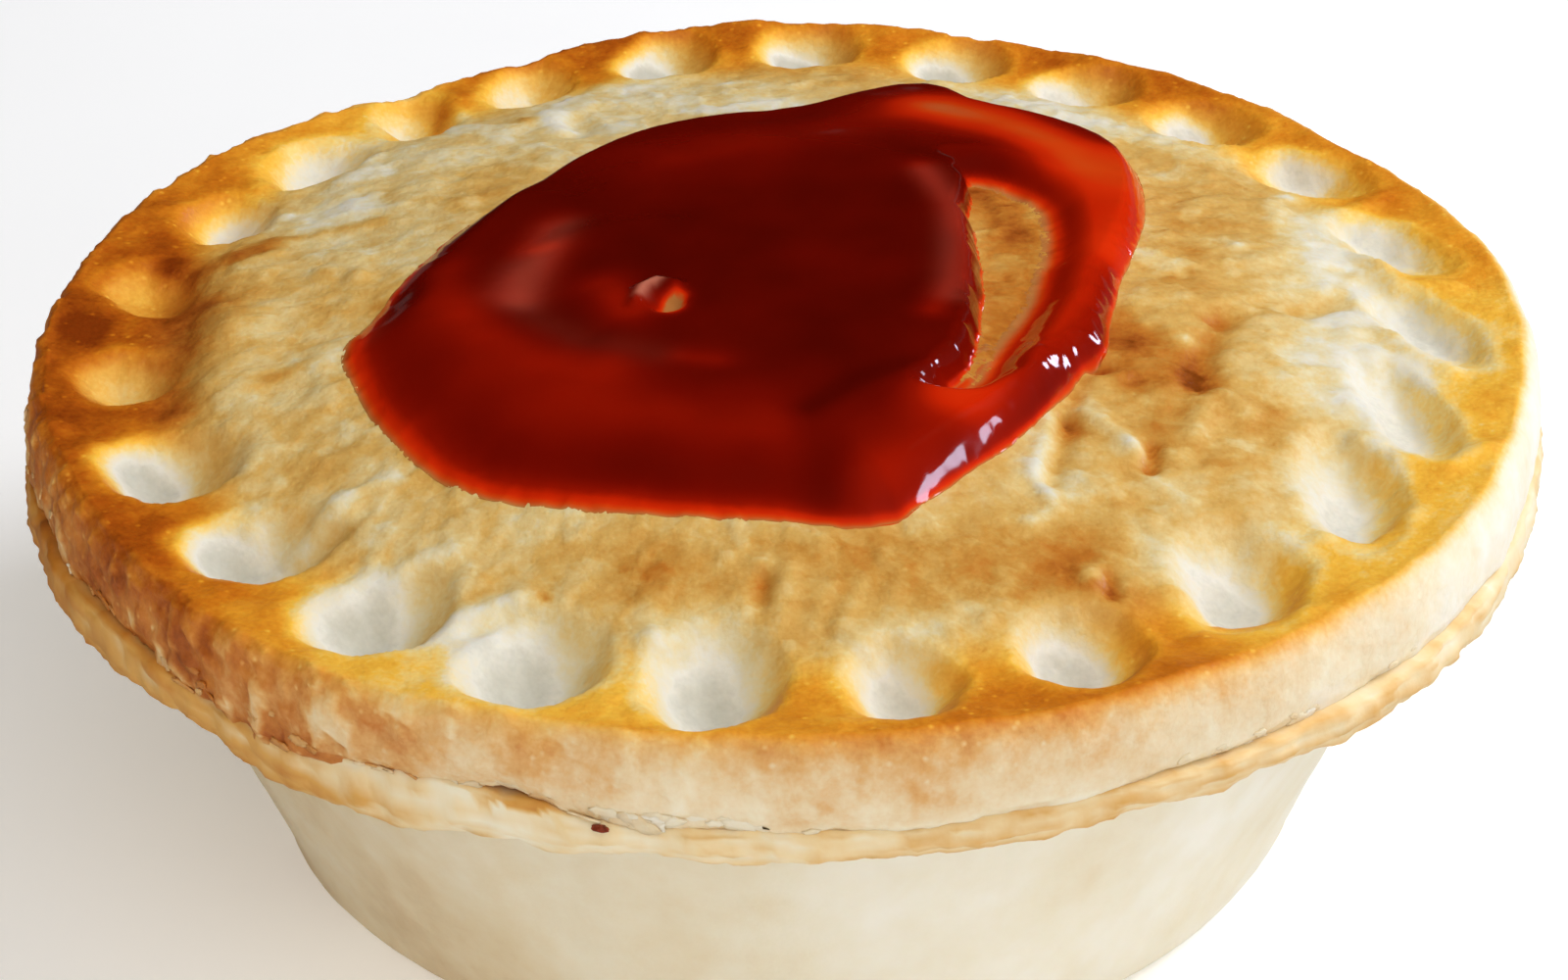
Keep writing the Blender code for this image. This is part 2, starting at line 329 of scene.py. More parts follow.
@dataclass
class RingSurface:
    """A closed surface made of rings, from a pole on top to a pole underneath.

    Rings run outwards or downwards, and points run anticlockwise, so faces point out.

    Attributes:
        points: Rings by columns by three coordinates, in millimetres.
        values: Named numbers for every point.
    """

    points: Array
    values: dict[str, Array] = field(default_factory=dict)

    def normals(self) -> Array:
        """Outward unit normals: the cross product of the steps down and across."""
        down = np.gradient(self.points, axis=0)
        across = np.roll(self.points, -1, axis=1) - np.roll(self.points, 1, axis=1)
        normal = np.cross(down, across)
        length = np.linalg.norm(normal, axis=-1, keepdims=True)
        return normal / np.maximum(length, 1e-9)

    def raise_by(self, height: Array) -> None:
        """Moves every point out along its normal."""
        self.points = self.points + self.normals() * height[..., None]

    def build(self, name: str, material: bpy.types.Material) -> bpy.types.Object:
        """Makes the mesh object: quads between the rings and a fan at each pole.

        Args:
            name: The object's name.
            material: Its only material.

        Returns:
            The object, at the origin, shaded smooth.
        """
        rings, columns, _ = self.points.shape
        poles = self.points[[0, -1]].mean(axis=1)
        corners = np.vstack([self.points.reshape(-1, 3), poles]) * METRES
        index = np.arange(rings * columns).reshape(rings, columns)
        after = np.roll(index, -1, axis=1)
        quads = np.stack([index[:-1], index[1:], after[1:], after[:-1]], axis=-1)
        top, bottom = rings * columns, rings * columns + 1
        fan_top = [(top, a, b) for a, b in zip(index[0], after[0])]
        fan_bottom = [(bottom, b, a) for a, b in zip(index[-1], after[-1])]
        faces = quads.reshape(-1, 4).tolist() + fan_top + fan_bottom
        spread = {
            key: np.concatenate([value.ravel(), value[[0, -1]].mean(axis=1)])
            for key, value in self.values.items()
        }
        return mesh_object(name, corners, faces, spread, material)


def mesh_object(
    name: str, corners: Array, faces: list, values: dict[str, Array],
    material: bpy.types.Material,
) -> bpy.types.Object:
    """Puts points and faces into a smooth-shaded mesh object.

    Args:
        name: The object's name.
        corners: Points in metres.
        faces: Tuples of point numbers.
        values: A number for every point under each attribute's name.
        material: The object's only material.

    Returns:
        The object, linked to the scene at the origin.
    """
    mesh = bpy.data.meshes.new(name)
    mesh.from_pydata(corners, [], faces)
    for key, value in values.items():
        layer = mesh.attributes.new(key, "FLOAT", "POINT")
        layer.data.foreach_set("value", np.ascontiguousarray(value, dtype=np.float32))
    mesh.shade_smooth()
    mesh.materials.append(material)
    mesh.update()
    obj = bpy.data.objects.new(name, mesh)
    bpy.context.scene.collection.objects.link(obj)
    return obj


def settle(piece: bpy.types.Object, slot: str, *nodes: str) -> None:
    """Rides a piece on the pie and hides the CAD nodes that it stands for."""
    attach(piece, BODY)
    if nodes:
        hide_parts(*nodes)
    LOG.info("%s: %d faces", piece.name, len(piece.data.polygons))


# ---------------------------------------------------------------------- the materials


def linear(colour: str) -> tuple[float, float, float, float]:
    """Turns an sRGB hex value such as #C8A060 into a linear colour with alpha 1."""
    parts = [int(colour[place : place + 2], 16) / 255.0 for place in (1, 3, 5)]
    curve = [p / 12.92 if p <= 0.04045 else ((p + 0.055) / 1.055) ** 2.4 for p in parts]
    return (*curve, 1.0)


def connect(tree: bpy.types.NodeTree, node: bpy.types.Node, inputs: dict[Any, Any]) -> None:
    """Fills a node's inputs by name or number: links a socket, puts in a value."""
    for name, value in inputs.items():
        if isinstance(value, bpy.types.NodeSocket):
            tree.links.new(value, node.inputs[name])
        else:
            node.inputs[name].default_value = value


def add_node(
    tree: bpy.types.NodeTree, kind: str, inputs: dict[Any, Any] | None = None,
    output: int | str = 0, **settings: Any,
) -> Any:
    """Adds a shader node to a tree.

    Args:
        tree: The material's or the world's node tree.
        kind: Blender's name for the kind of node, after ShaderNode.
        inputs: For an input's name or number, its value or the socket linked to it.
        output: Name or number of the output that is wanted.
        **settings: The node's other properties.

    Returns:
        The output's socket.
    """
    node = tree.nodes.new("ShaderNode" + kind)
    for name, value in settings.items():
        setattr(node, name, value)
    connect(tree, node, inputs or {})
    return node.outputs[output]


def add_ramp(tree: bpy.types.NodeTree, level: Any, stops: Stops) -> Any:
    """Adds a colour ramp that reads a level, with a colour at each of its places."""
    socket = add_node(tree, "ValToRGB", {"Fac": level})
    elements = socket.node.color_ramp.elements
    while len(elements) < len(stops):
        elements.new(1.0)
    for element, (place, colour) in zip(elements, stops):
        element.position = place
        element.color = linear(colour)
    return socket


def add_attributes(tree: bpy.types.NodeTree, *names: str) -> list[Any]:
    """Adds a node for each named attribute of the mesh."""
    return [add_node(tree, "Attribute", None, "Fac", attribute_name=name) for name in names]


def add_noise(tree: bpy.types.NodeTree, place: Any, size: float, detail: float) -> Any:
    """Adds fractal noise whose features are size millimetres wide."""
    inputs = {"Vector": place, "Scale": per_metre(size), "Detail": detail}
    return add_node(tree, "TexNoise", inputs, "Fac")


def add_bump(
    tree: bpy.types.NodeTree, place: Any, size: float, detail: float, height: float,
    **inputs: Any,
) -> Any:
    """Adds a bump from noise: its features' width and height are in millimetres."""
    noise = add_noise(tree, place, size, detail)
    return add_node(tree, "Bump", {"Height": noise, "Distance": height * METRES, **inputs})


def add_range(
    tree: bpy.types.NodeTree, value: Any, start: float = 0.0, end: float = 1.0,
    low: float = 0.0, high: float = 1.0, **settings: Any,
) -> Any:
    """Adds a clamped range: low where the value is start, high where it is end."""
    inputs = {"Value": value, "From Min": start, "From Max": end}
    inputs |= {"To Min": low, "To Max": high}
    return add_node(tree, "MapRange", inputs, **settings)


def add_mix(tree: bpy.types.NodeTree, share: Any, first: Any, second: Any) -> Any:
    """Mixes two colours: the first at share 0 and the second at share 1."""
    return add_node(tree, "Mix", {0: share, 6: first, 7: second}, 2, data_type="RGBA")


def add_math(tree: bpy.types.NodeTree, operation: str, *terms: Any) -> Any:
    """Adds a sum or product of its terms."""
    return add_node(tree, "Math", dict(enumerate(terms)), operation=operation)


def per_metre(size: float) -> float:
    """Texture scale that makes one feature this many millimetres wide."""
    return 1.0 / (size * METRES)


def new_material(name: str) -> tuple[bpy.types.Material, bpy.types.Node, Any]:
    """Starts a node material: returns it, its Principled shader and the coordinates."""
    material = bpy.data.materials.new(name)
    material.use_nodes = True
    tree = material.node_tree
    return material, tree.nodes["Principled BSDF"], add_node(tree, "TexCoord", None, "Object")


@dataclass(frozen=True)
class BakedPastry:
    """Shortcrust pastry glazed with milk or egg and baked.

    Flour, fat and water brown where they dry first, so the colour follows one number
    from raw white to brown, the attribute `bake`. The attribute `rim` mixes in the
    brighter orange of the egg-glazed rim, and `wall` the pinker browning of the sides
    that lay against the tin. Fine grain comes from flour and fat, pale specks on the
    browned crust are painted highlights, small glints of light, and the browner the
    crust the more it shines.
    """

    name: str
    top_stops: Stops
    rim_stops: Stops
    wall_stops: Stops
    grain_size: float = 1.0
    fine_grain_size: float = 0.4
    grain_share: float = 0.16
    fine_grain_share: float = 0.16
    # Below this level of baking the dough is plain, with a share of the grain.
    raw_level: float = 0.3
    raw_grain: float = 0.2
    streak_size: float = 1.5
    streak_share: float = 0.1
    streak_stretch: float = 0.45
    # Pale specks of painted highlight: small glints on the browned crust, fewer on the dome.
    glint_speck_size: float = 1.3
    glint_speck_reach: float = 0.2
    glint_speck_share: float = 0.22
    dome_glint_specks: float = 0.4
    bump_size: float = 0.5
    bump_height: float = 0.09
    coarse_bump_size: float = 1.6
    coarse_bump_height: float = 0.1
    raw_roughness: float = 0.66
    baked_roughness: float = 0.33
    glow: float = 0.1
    glow_depth: float = 1.2
    glow_colour: tuple[float, float, float] = (1.0, 0.55, 0.3)

    def make(self) -> bpy.types.Material:
        """Builds the material: ramps on bake, grain, painted highlight specks, satin gloss and
        bump.
        """
        material, shader, place = new_material(self.name)
        tree = material.node_tree
        bake, rim, wall = add_attributes(tree, "bake", "rim", "wall")
        baked = add_range(tree, bake, end=self.raw_level, low=self.raw_grain)
        level = self.browned_level(tree, place, bake, rim, wall, baked)
        dome, edge, side = (
            add_ramp(tree, level, stops)
            for stops in (self.top_stops, self.rim_stops, self.wall_stops)
        )
        lumps = add_bump(tree, place, self.coarse_bump_size, 2.0, self.coarse_bump_height)
        inputs = {"Strength": baked, "Normal": lumps}
        grit = add_bump(tree, place, self.bump_size, 4.0, self.bump_height, **inputs)
        rough, smooth = self.raw_roughness, self.baked_roughness
        inputs = {
            "Base Color": add_mix(tree, wall, add_mix(tree, rim, dome, edge), side),
            "Roughness": add_range(tree, level, low=rough, high=smooth), "Normal": grit,
            "Subsurface Weight": self.glow, "Subsurface Radius": self.glow_colour,
            "Subsurface Scale": self.glow_depth * METRES,
        }
        connect(tree, shader, inputs)
        return material

    def browned_level(
        self, tree: bpy.types.NodeTree, place: Any, bake: Any, rim: Any, wall: Any, baked: Any,
    ) -> Any:
        """Bake plus grain everywhere, pale specks of painted highlight on the rim and fewer on the
        dome, and streaks on the wall.

        Args:
            tree: The material's node tree.
            place: Object coordinates.
            bake: The attribute that says how brown the crust is.
            rim: The attribute that is 1 on the glazed rim.
            wall: The attribute that is 1 on the upright sides.
            baked: The share of the grain that shows, least on raw dough.

        Returns:
            The socket with the level that the colour ramps read.
        """
        grain = add_noise(tree, place, self.grain_size, 3.0)
        fine = add_noise(tree, place, self.fine_grain_size, 2.0)
        level = self.add_share(tree, bake, grain, self.grain_share)
        level = self.add_share(tree, level, fine, self.fine_grain_share)
        level = add_node(tree, "Mix", {0: baked, 2: bake, 3: level})
        inputs = {0: place, 1: (1.0, 1.0, self.streak_stretch)}
        upright = add_node(tree, "VectorMath", inputs, operation="MULTIPLY")
        streak = add_noise(tree, upright, self.streak_size, 3.0)
        streaked = self.add_share(tree, level, streak, self.streak_share)
        level = add_node(tree, "Mix", {0: wall, 2: level, 3: streaked})
        # Painted highlight: pale specks on the browned crust.
        inputs = {"Vector": place, "Scale": per_metre(self.glint_speck_size)}
        spots = add_node(tree, "TexVoronoi", inputs, "Distance")
        glint_speck = add_range(tree, spots, end=self.glint_speck_reach, low=-self.glint_speck_share, high=0.0)
        crisp = add_range(tree, bake, self.raw_level, 2 * self.raw_level)
        glint_speck = add_math(tree, "MULTIPLY", glint_speck, crisp)
        where = add_range(tree, rim, low=self.dome_glint_specks)
        return add_math(tree, "MULTIPLY_ADD", glint_speck, where, level)

    def add_share(self, tree: bpy.types.NodeTree, level: Any, pattern: Any, share: float) -> Any:
        """Adds a pattern, taken about its middle, times a share to the level."""
        shift = add_math(tree, "MULTIPLY_ADD", pattern, share, -0.5 * share)
        return add_math(tree, "ADD", level, shift)


# Glazed lid: white where thumbs pressed the dough, then cream, gold, amber and brown.
# The grey lowest stop of the top and rim ramps is painted shade for pit floors in shade.
LID_PASTRY = BakedPastry(
    name="baked_lid_pastry",
    top_stops=(
        (0.0, "#C4C1B1"), (0.1, "#E9E5D6"), (0.2, "#E8D9AE"), (0.3, "#E7CB8A"), (0.45, "#DFB260"),
        (0.6, "#D19743"), (0.75, "#C67B2B"), (0.9, "#A9591C"), (1.0, "#85410F"),
    ),
    rim_stops=(
        (0.0, "#C4C1B1"), (0.1, "#E6E1D0"), (0.19, "#F2E2B8"), (0.27, "#FBD984"),
        (0.4, "#FFC344"), (0.55, "#EFA02A"), (0.7, "#D87E1A"), (0.85, "#B75A10"),
        (1.0, "#8A390A"),
    ),
    wall_stops=(
        (0.0, "#F7F2E6"), (0.18, "#F4E6C6"), (0.36, "#ECD0A2"), (0.52, "#E4B06C"),
        (0.68, "#D08338"), (0.84, "#B4601F"), (1.0, "#7C3A12"),
    ),
)

# Case pastry: never glazed, shielded by its tin, so pale cream with soft tan patches.
CASE_PASTRY = BakedPastry(
    name="baked_case_pastry",
    top_stops=(
        (0.0, "#F6EFDB"), (0.2, "#F0E0B8"), (0.4, "#EBCB92"), (0.6, "#DEAB62"), (0.8, "#C4843E"),
        (1.0, "#8E5424"),
    ),
    rim_stops=(
        (0.0, "#F6ECD0"), (0.25, "#F1D6A2"), (0.5, "#E2AC58"), (0.75, "#CC8430"),
        (1.0, "#90501C"),
    ),
    wall_stops=(
        (0.0, "#F4EFE0"), (0.2, "#EEE4CA"), (0.4, "#E6D3AE"), (0.6, "#D3B58A"), (0.8, "#BB8D55"),
        (1.0, "#8E5E34"),
    ),
    grain_share=0.05, fine_grain_share=0.05, streak_share=0.1, glint_speck_share=0.0, bump_height=0.035,
    coarse_bump_height=0.03, raw_roughness=0.62, baked_roughness=0.48,
)


@dataclass(frozen=True)
class TomatoSauce:
    """Bottled tomato sauce: a wet, smooth, see-through purée.

    Thin places let the crust shine through and look orange, thick ones turn dark red.
    The attribute `tone` says how deep it looks, and a second attribute where pale pink
    painted reflections and a painted highlight are mixed in. Its water gives a clear gloss.
    """

    name: str = "tomato_sauce"
    stops: Stops = (
        (0.0, "#BE7A3E"), (0.1, "#D05A26"), (0.2, "#D9440F"), (0.32, "#D62E08"),
        (0.45, "#C62304"), (0.58, "#981503"), (0.72, "#760C02"), (0.86, "#560701"),
        (1.0, "#3C0301"),
    )
    # Colour of the painted reflections.
    reflection_colour: str = "#C07058"
    roughness: float = 0.08
    ior: float = 1.36
    glow: float = 0.1
    glow_depth: float = 1.4
    glow_colour: tuple[float, float, float] = (1.0, 0.18, 0.06)
    ripple_size: float = 7.0
    ripple_height: float = 0.04

    def make(self) -> bpy.types.Material:
        """Builds the material: a ramp on tone with painted reflections mixed in, a wet gloss and
        faint ripples.
        """
        material, shader, place = new_material(self.name)
        tree = material.node_tree
        tone, painted_reflection = add_attributes(tree, "tone", "painted_reflection")
        colour = add_ramp(tree, tone, self.stops)
        inputs = {
            "Base Color": add_mix(tree, painted_reflection, colour, linear(self.reflection_colour)),
            "Normal": add_bump(tree, place, self.ripple_size, 1.0, self.ripple_height),
            "Roughness": self.roughness, "IOR": self.ior, "Subsurface Weight": self.glow,
            "Subsurface Radius": self.glow_colour, "Subsurface Scale": self.glow_depth * METRES,
        }
        connect(tree, shader, inputs)
        return material


@dataclass(frozen=True)
class MottledFinish:
    """A finish of two shades in soft spots, for the gravy and the table."""

    name: str
    stops: Stops
    spot_size: float
    roughness: float
    light_strength: float = 0.0

    def make(self) -> bpy.types.Material:
        """Builds the material: a ramp on noise."""
        material, shader, place = new_material(self.name)
        tree = material.node_tree
        colour = add_ramp(tree, add_noise(tree, place, self.spot_size, 3.0), self.stops)
        inputs = {"Base Color": colour, "Emission Color": colour}
        inputs |= {"Emission Strength": self.light_strength, "Roughness": self.roughness}
        connect(tree, shader, inputs)
        return material


# Meat gravy boiled out at the seam and dried to a shiny bead, dark where it is thick.
GRAVY = MottledFinish("dried_gravy", ((0.35, "#63240F"), (0.65, "#A8452A")), 0.5, 0.25)
# Matt white acrylic light table, very faintly clouded and softly lit from below.
TABLE = MottledFinish(
    "white_table", ((0.3, "#F8F8F7"), (0.7, "#FBFBFA")), 60.0, 0.6, light_strength=0.22
)


# ------------------------------------------------------------------------ lid's shape


class Fall(Enum):
    """How a mark on the crust falls off away from its line."""

    ROUND = "both sides alike"
    STEP = "high on the left side and cut off on the right"


@dataclass(frozen=True)
class Mark:
    """One bump, dent, fold, torn edge or stain, along a line seen from above.

    Attributes:
        path: Points of the line, x and y; one point makes a spot.
        width: Distance at which it has faded to about a third.
        height: Rise, negative for a dent or groove.
        shade: Extra browning or depth of colour, negative for paler; on some marks
            this is painted shade, painted light or a painted reflection.
        fall: How it falls off sideways.
    """

    path: tuple[tuple[float, float], ...]
    width: float
    height: float = 0.0
    shade: float = 0.0
    fall: Fall = Fall.ROUND


def lay_marks(x: Array, y: Array, marks: tuple[Mark, ...]) -> tuple[Array, Array]:
    """Adds up marks: each is e to the minus (distance / width)^2 times its size.

    Args:
        x: East coordinates.
        y: North coordinates.
        marks: The marks.

    Returns:
        The total rise and the total shade at each place.
    """
    height, shade = np.zeros(np.shape(x)), np.zeros(np.shape(x))
    for mark in marks:
        distance, side = path_distance(x, y, mark.path)
        strength = np.exp(-((distance / mark.width) ** 2))
        if mark.fall is Fall.STEP:
            strength = strength * (side > 0)
        height += mark.height * strength
        shade += mark.shade * strength
    return height, shade


@dataclass(frozen=True)
class ThumbPit:
    """One thumb pit in the rim.

    Attributes:
        bearing: Bearing of its deepest place.
        radius: Distance of that place from the middle of the lid.
        depth: How deep the thumb went.
        half_width: Half its width along the rim.
        inner: Its length towards the dome.
        outer: Its length towards the crest.
        skew: Slant off the radius, as a share.
        pale_x: How far east of its deepest place the palest place is.
        pale_y: The same northwards.
        pale: How white that place stayed, from 0 to 1.
        pale_size: How many times as large as the pit the pale oval is.
    """

    bearing: float
    radius: float = 47.0
    depth: float = 3.4
    half_width: float = 4.4
    inner: float = 5.4
    outer: float = 6.0
    skew: float = 0.42
    # By default the pale oval lies west of the deepest place, so a pit's east wall, turned from the
    # light, comes out browner: partly browning and partly painted shade.
    pale_x: float = -1.3
    pale_y: float = 0.0
    pale: float = 1.0
    pale_size: float = 0.92

    def share(
        self, x: Array, y: Array, shift: tuple[float, float] = (0, 0), size: float = 1.0
    ) -> Array:
        """Share of the way from its middle, 0, to its edge, 1: a skewed oval's norm.

        Args:
            x: East coordinates.
            y: North coordinates.
            shift: How far the oval is moved east and north.
            size: How many times as large as the pit the oval is.
        """
        turn = math.radians(self.bearing)
        east = x - self.radius * math.cos(turn) - shift[0]
        north = y - self.radius * math.sin(turn) - shift[1]
        out = east * math.cos(turn) + north * math.sin(turn)
        across = north * math.cos(turn) - east * math.sin(turn) + self.skew * out
        length = np.where(out < 0, self.inner, self.outer)
        return np.hypot(across / self.half_width, out / length) / size


@dataclass(frozen=True)
class PitRing:
    """The ring of slanting thumb pits inside the rim, each as it was pressed."""

    floor_share: float = 0.2
    crisp_share: float = 0.5
    pale_from: float = 0.2
    pale_reach: float = 1.1
    warp_east: Grain = Grain(0.8, 5.0, 71, 2)
    warp_north: Grain = Grain(0.8, 5.0, 72, 2)
    pits: tuple[ThumbPit, ...] = (
        ThumbPit(358.6, 47.6, 1.8, 5.2, 5.2, 4.6, 0.9, -0.3, 0.6, 1.0, 0.94),
        ThumbPit(14.6, 48.2, 1.7, 5.2, 5.0, 4.4, 0.6, -0.6, 1.6, 1.0, 0.9),
        ThumbPit(31.0, 49.2, 2.0, 5.2, 5.0, 4.2, 0.3, -0.2, 2.0, 1.0, 0.8),
        ThumbPit(45.0, 49.2, 2.2, 5.0, 4.8, 4.0, 0.2, -1.4, 0.8, 1.0, 0.78),
        ThumbPit(58.4, 49.4, 2.6, 4.6, 4.6, 4.0, 0.2, -2.0, 0.6, 0.9),
        ThumbPit(72.2, 49.4, 2.7, 4.6, 4.4, 4.2, 0.2, -1.2, 0.3, 1.0),
        ThumbPit(87.0, 49.4, 2.7, 4.6, 4.4, 4.4, 0.2, -1.4, 0.0, 1.0),
        ThumbPit(101.4, 49.4, 2.7, 4.6, 4.4, 4.4, 0.2, -1.4, 0.0, 1.0),
        ThumbPit(115.5, 49.2, 2.2, 4.2, 4.6, 4.6, 0.3, -1.6, 0.0, 0.7),
        ThumbPit(128.5, 48.4, 2.4, 4.4, 5.2, 5.2, 0.3, -1.0, 0.0, 0.8),
        ThumbPit(142.2, 47.6, 2.5, 5.8, 4.6, 4.2, 0.1, 0.2, 1.1, 1.0, 1.15),
        ThumbPit(157.0, 47.6, 2.4, 4.8, 4.6, 4.2, 0.1, 0.6, 0.4),
        ThumbPit(172.0, 48.2, 1.6, 4.2, 4.4, 4.4, 0.1, 0.0, 0.0, 0.25),
        ThumbPit(188.0, 48.6, 2.0, 4.0, 4.4, 4.0, 0.0, 0.0, 0.0, 0.35),
        ThumbPit(204.7, 47.2, 3.0, 4.9, 5.8, 4.9, 0.1, -1.9, 0.9, 1.0, 0.88),
        ThumbPit(220.7, 47.0, 3.1, 4.6, 6.2, 5.0, 0.2, -2.1, 0.9, 1.0, 0.88),
        ThumbPit(236.0, 47.7, 3.1, 4.7, 6.2, 4.9, 0.15, -1.4, 1.1, 1.0, 1.02),
        ThumbPit(250.5, 48.2, 3.2, 4.8, 6.6, 5.6, 0.1, -1.1, 0.9, 1.0, 1.08),
        ThumbPit(264.5, 47.8, 3.2, 4.8, 6.8, 6.2, 0.05, -0.5, 0.9, 1.0, 1.08),
        ThumbPit(278.8, 48.6, 3.0, 4.1, 5.4, 4.4, 0.0, -0.6, 0.8, 1.0, 1.08),
        ThumbPit(293.4, 48.3, 3.0, 4.8, 5.6, 4.4, 0.1, -0.9, 0.7, 1.0, 1.02),
        ThumbPit(310.4, 46.6, 2.9, 5.8, 6.0, 5.6, 0.3, -0.9, -0.3, 1.0, 0.98),
        ThumbPit(327.4, 46.2, 2.3, 5.8, 5.8, 5.6, 0.7, -0.9, -0.9, 1.0, 0.98),
        ThumbPit(343.2, 46.4, 2.0, 5.2, 5.6, 5.0, 0.9, -1.2, -0.3, 1.0, 1.06),
    )

    def press(self, x: Array, y: Array) -> dict[str, Array]:
        """Presses the pits: oval bowls, part S-curved and part a paraboloid.

        Noise first moves each place a little, which makes the ovals uneven.

        Args:
            x: East coordinates.
            y: North coordinates.

        Returns:
            The depth, the share of the way from the nearest pit's middle to its edge,
            and how white the crust stayed.
        """
        places = flat_places(x, y)
        x, y = x + self.warp_east.at(places), y + self.warp_north.at(places)
        depth, white = np.zeros(x.shape), np.zeros(x.shape)
        nearest = np.full(x.shape, 9.0)
        for pit in self.pits:
            share = pit.share(x, y)
            soft = 1.0 - smooth_step(self.floor_share, 1.0, share)
            crisp = 1.0 - np.minimum(share, 1.0) ** 2
            depth = np.maximum(depth, pit.depth * between(soft, crisp, self.crisp_share))
            pale_size = pit.pale_size * self.pale_reach
            pale = pit.share(x, y, (pit.pale_x, pit.pale_y), pale_size)
            fade = pit.pale * (1.0 - smooth_step(self.pale_from, 1.0, pale))
            white = np.maximum(white, fade)
            nearest = np.minimum(nearest, share)
        return {"depth": depth, "share": nearest, "white": white}


@dataclass(frozen=True)
class LidForm:
    """The smooth shape of the lid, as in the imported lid: dome, trough and crest."""

    crest_radius: float = 54.0
    crest_height: float = 37.8
    dome_radius: float = 43.0
    dome_rise: float = 4.5
    crest_inner_slope: float = 0.15
    radius_waves: tuple = ((0.3, 3, 40), (0.2, 8, 10))
    height_waves: tuple = ((0.2, 4, 100), (0.15, 9, 30))
    uneven_from: float = 38.0
    uneven_fully_at: float = 52.0
    dip_bearing: float = 124.0
    dip_spread: float = 14.0
    dip_depth: float = 1.2
    dip_inset: float = 1.2
    seam_height: float = 31.3
    # Lumps that fingers left along the crest.
    lumps_out: Grain = Grain(0.3, 6.5, 81, 2)
    lumps_up: Grain = Grain(0.3, 6.5, 82, 2)

    def dip(self, bearing: Array) -> Array:
        """Share of the rim's dip at a bearing."""
        return swell(bearing, self.dip_bearing, self.dip_spread)

    def rim_radius(self, bearing: Array) -> Array:
        """Radius of the crest: a circle, uneven by hand, pushed in at the dip."""
        uneven = sum_of_waves(bearing, self.radius_waves)
        uneven = uneven + self.lumps_out.at(ring_places(self.crest_radius, bearing))
        return self.crest_radius + uneven - self.dip_inset * self.dip(bearing)

    def rim_height(self, bearing: Array) -> Array:
        """Height of the crest, lower at the dip."""
        uneven = sum_of_waves(bearing, self.height_waves)
        uneven = uneven + self.lumps_up.at(ring_places(self.crest_radius, bearing))
        return self.crest_height + uneven - self.dip_depth * self.dip(bearing)

    def dome(self, radius: Array) -> Array:
        """Height of the plain dome: a paraboloid."""
        return self.crest_height + self.dome_rise * (1.0 - (radius / self.dome_radius) ** 2)

    def top(self, radius: Array, bearing: Array) -> Array:
        """Height before the pits: the dome, then a cubic that carries its slope on
        through a shallow trough to the crest."""
        run = self.crest_radius - self.dome_radius
        along = np.clip((radius - self.dome_radius) / run, 0.0, 1.0)
        slope = -2.0 * self.dome_rise / self.dome_radius
        trough = run * (
            slope * (along**3 - 2 * along**2 + along)
            + self.crest_inner_slope * (along**3 - along**2)
        )
        rim = self.rim_height(bearing) - self.crest_height
        uneven = rim * smooth_step(self.uneven_from, self.uneven_fully_at, radius)
        inside = radius < self.dome_radius
        plain = np.where(inside, self.dome(radius), self.crest_height + trough)
        return plain + uneven
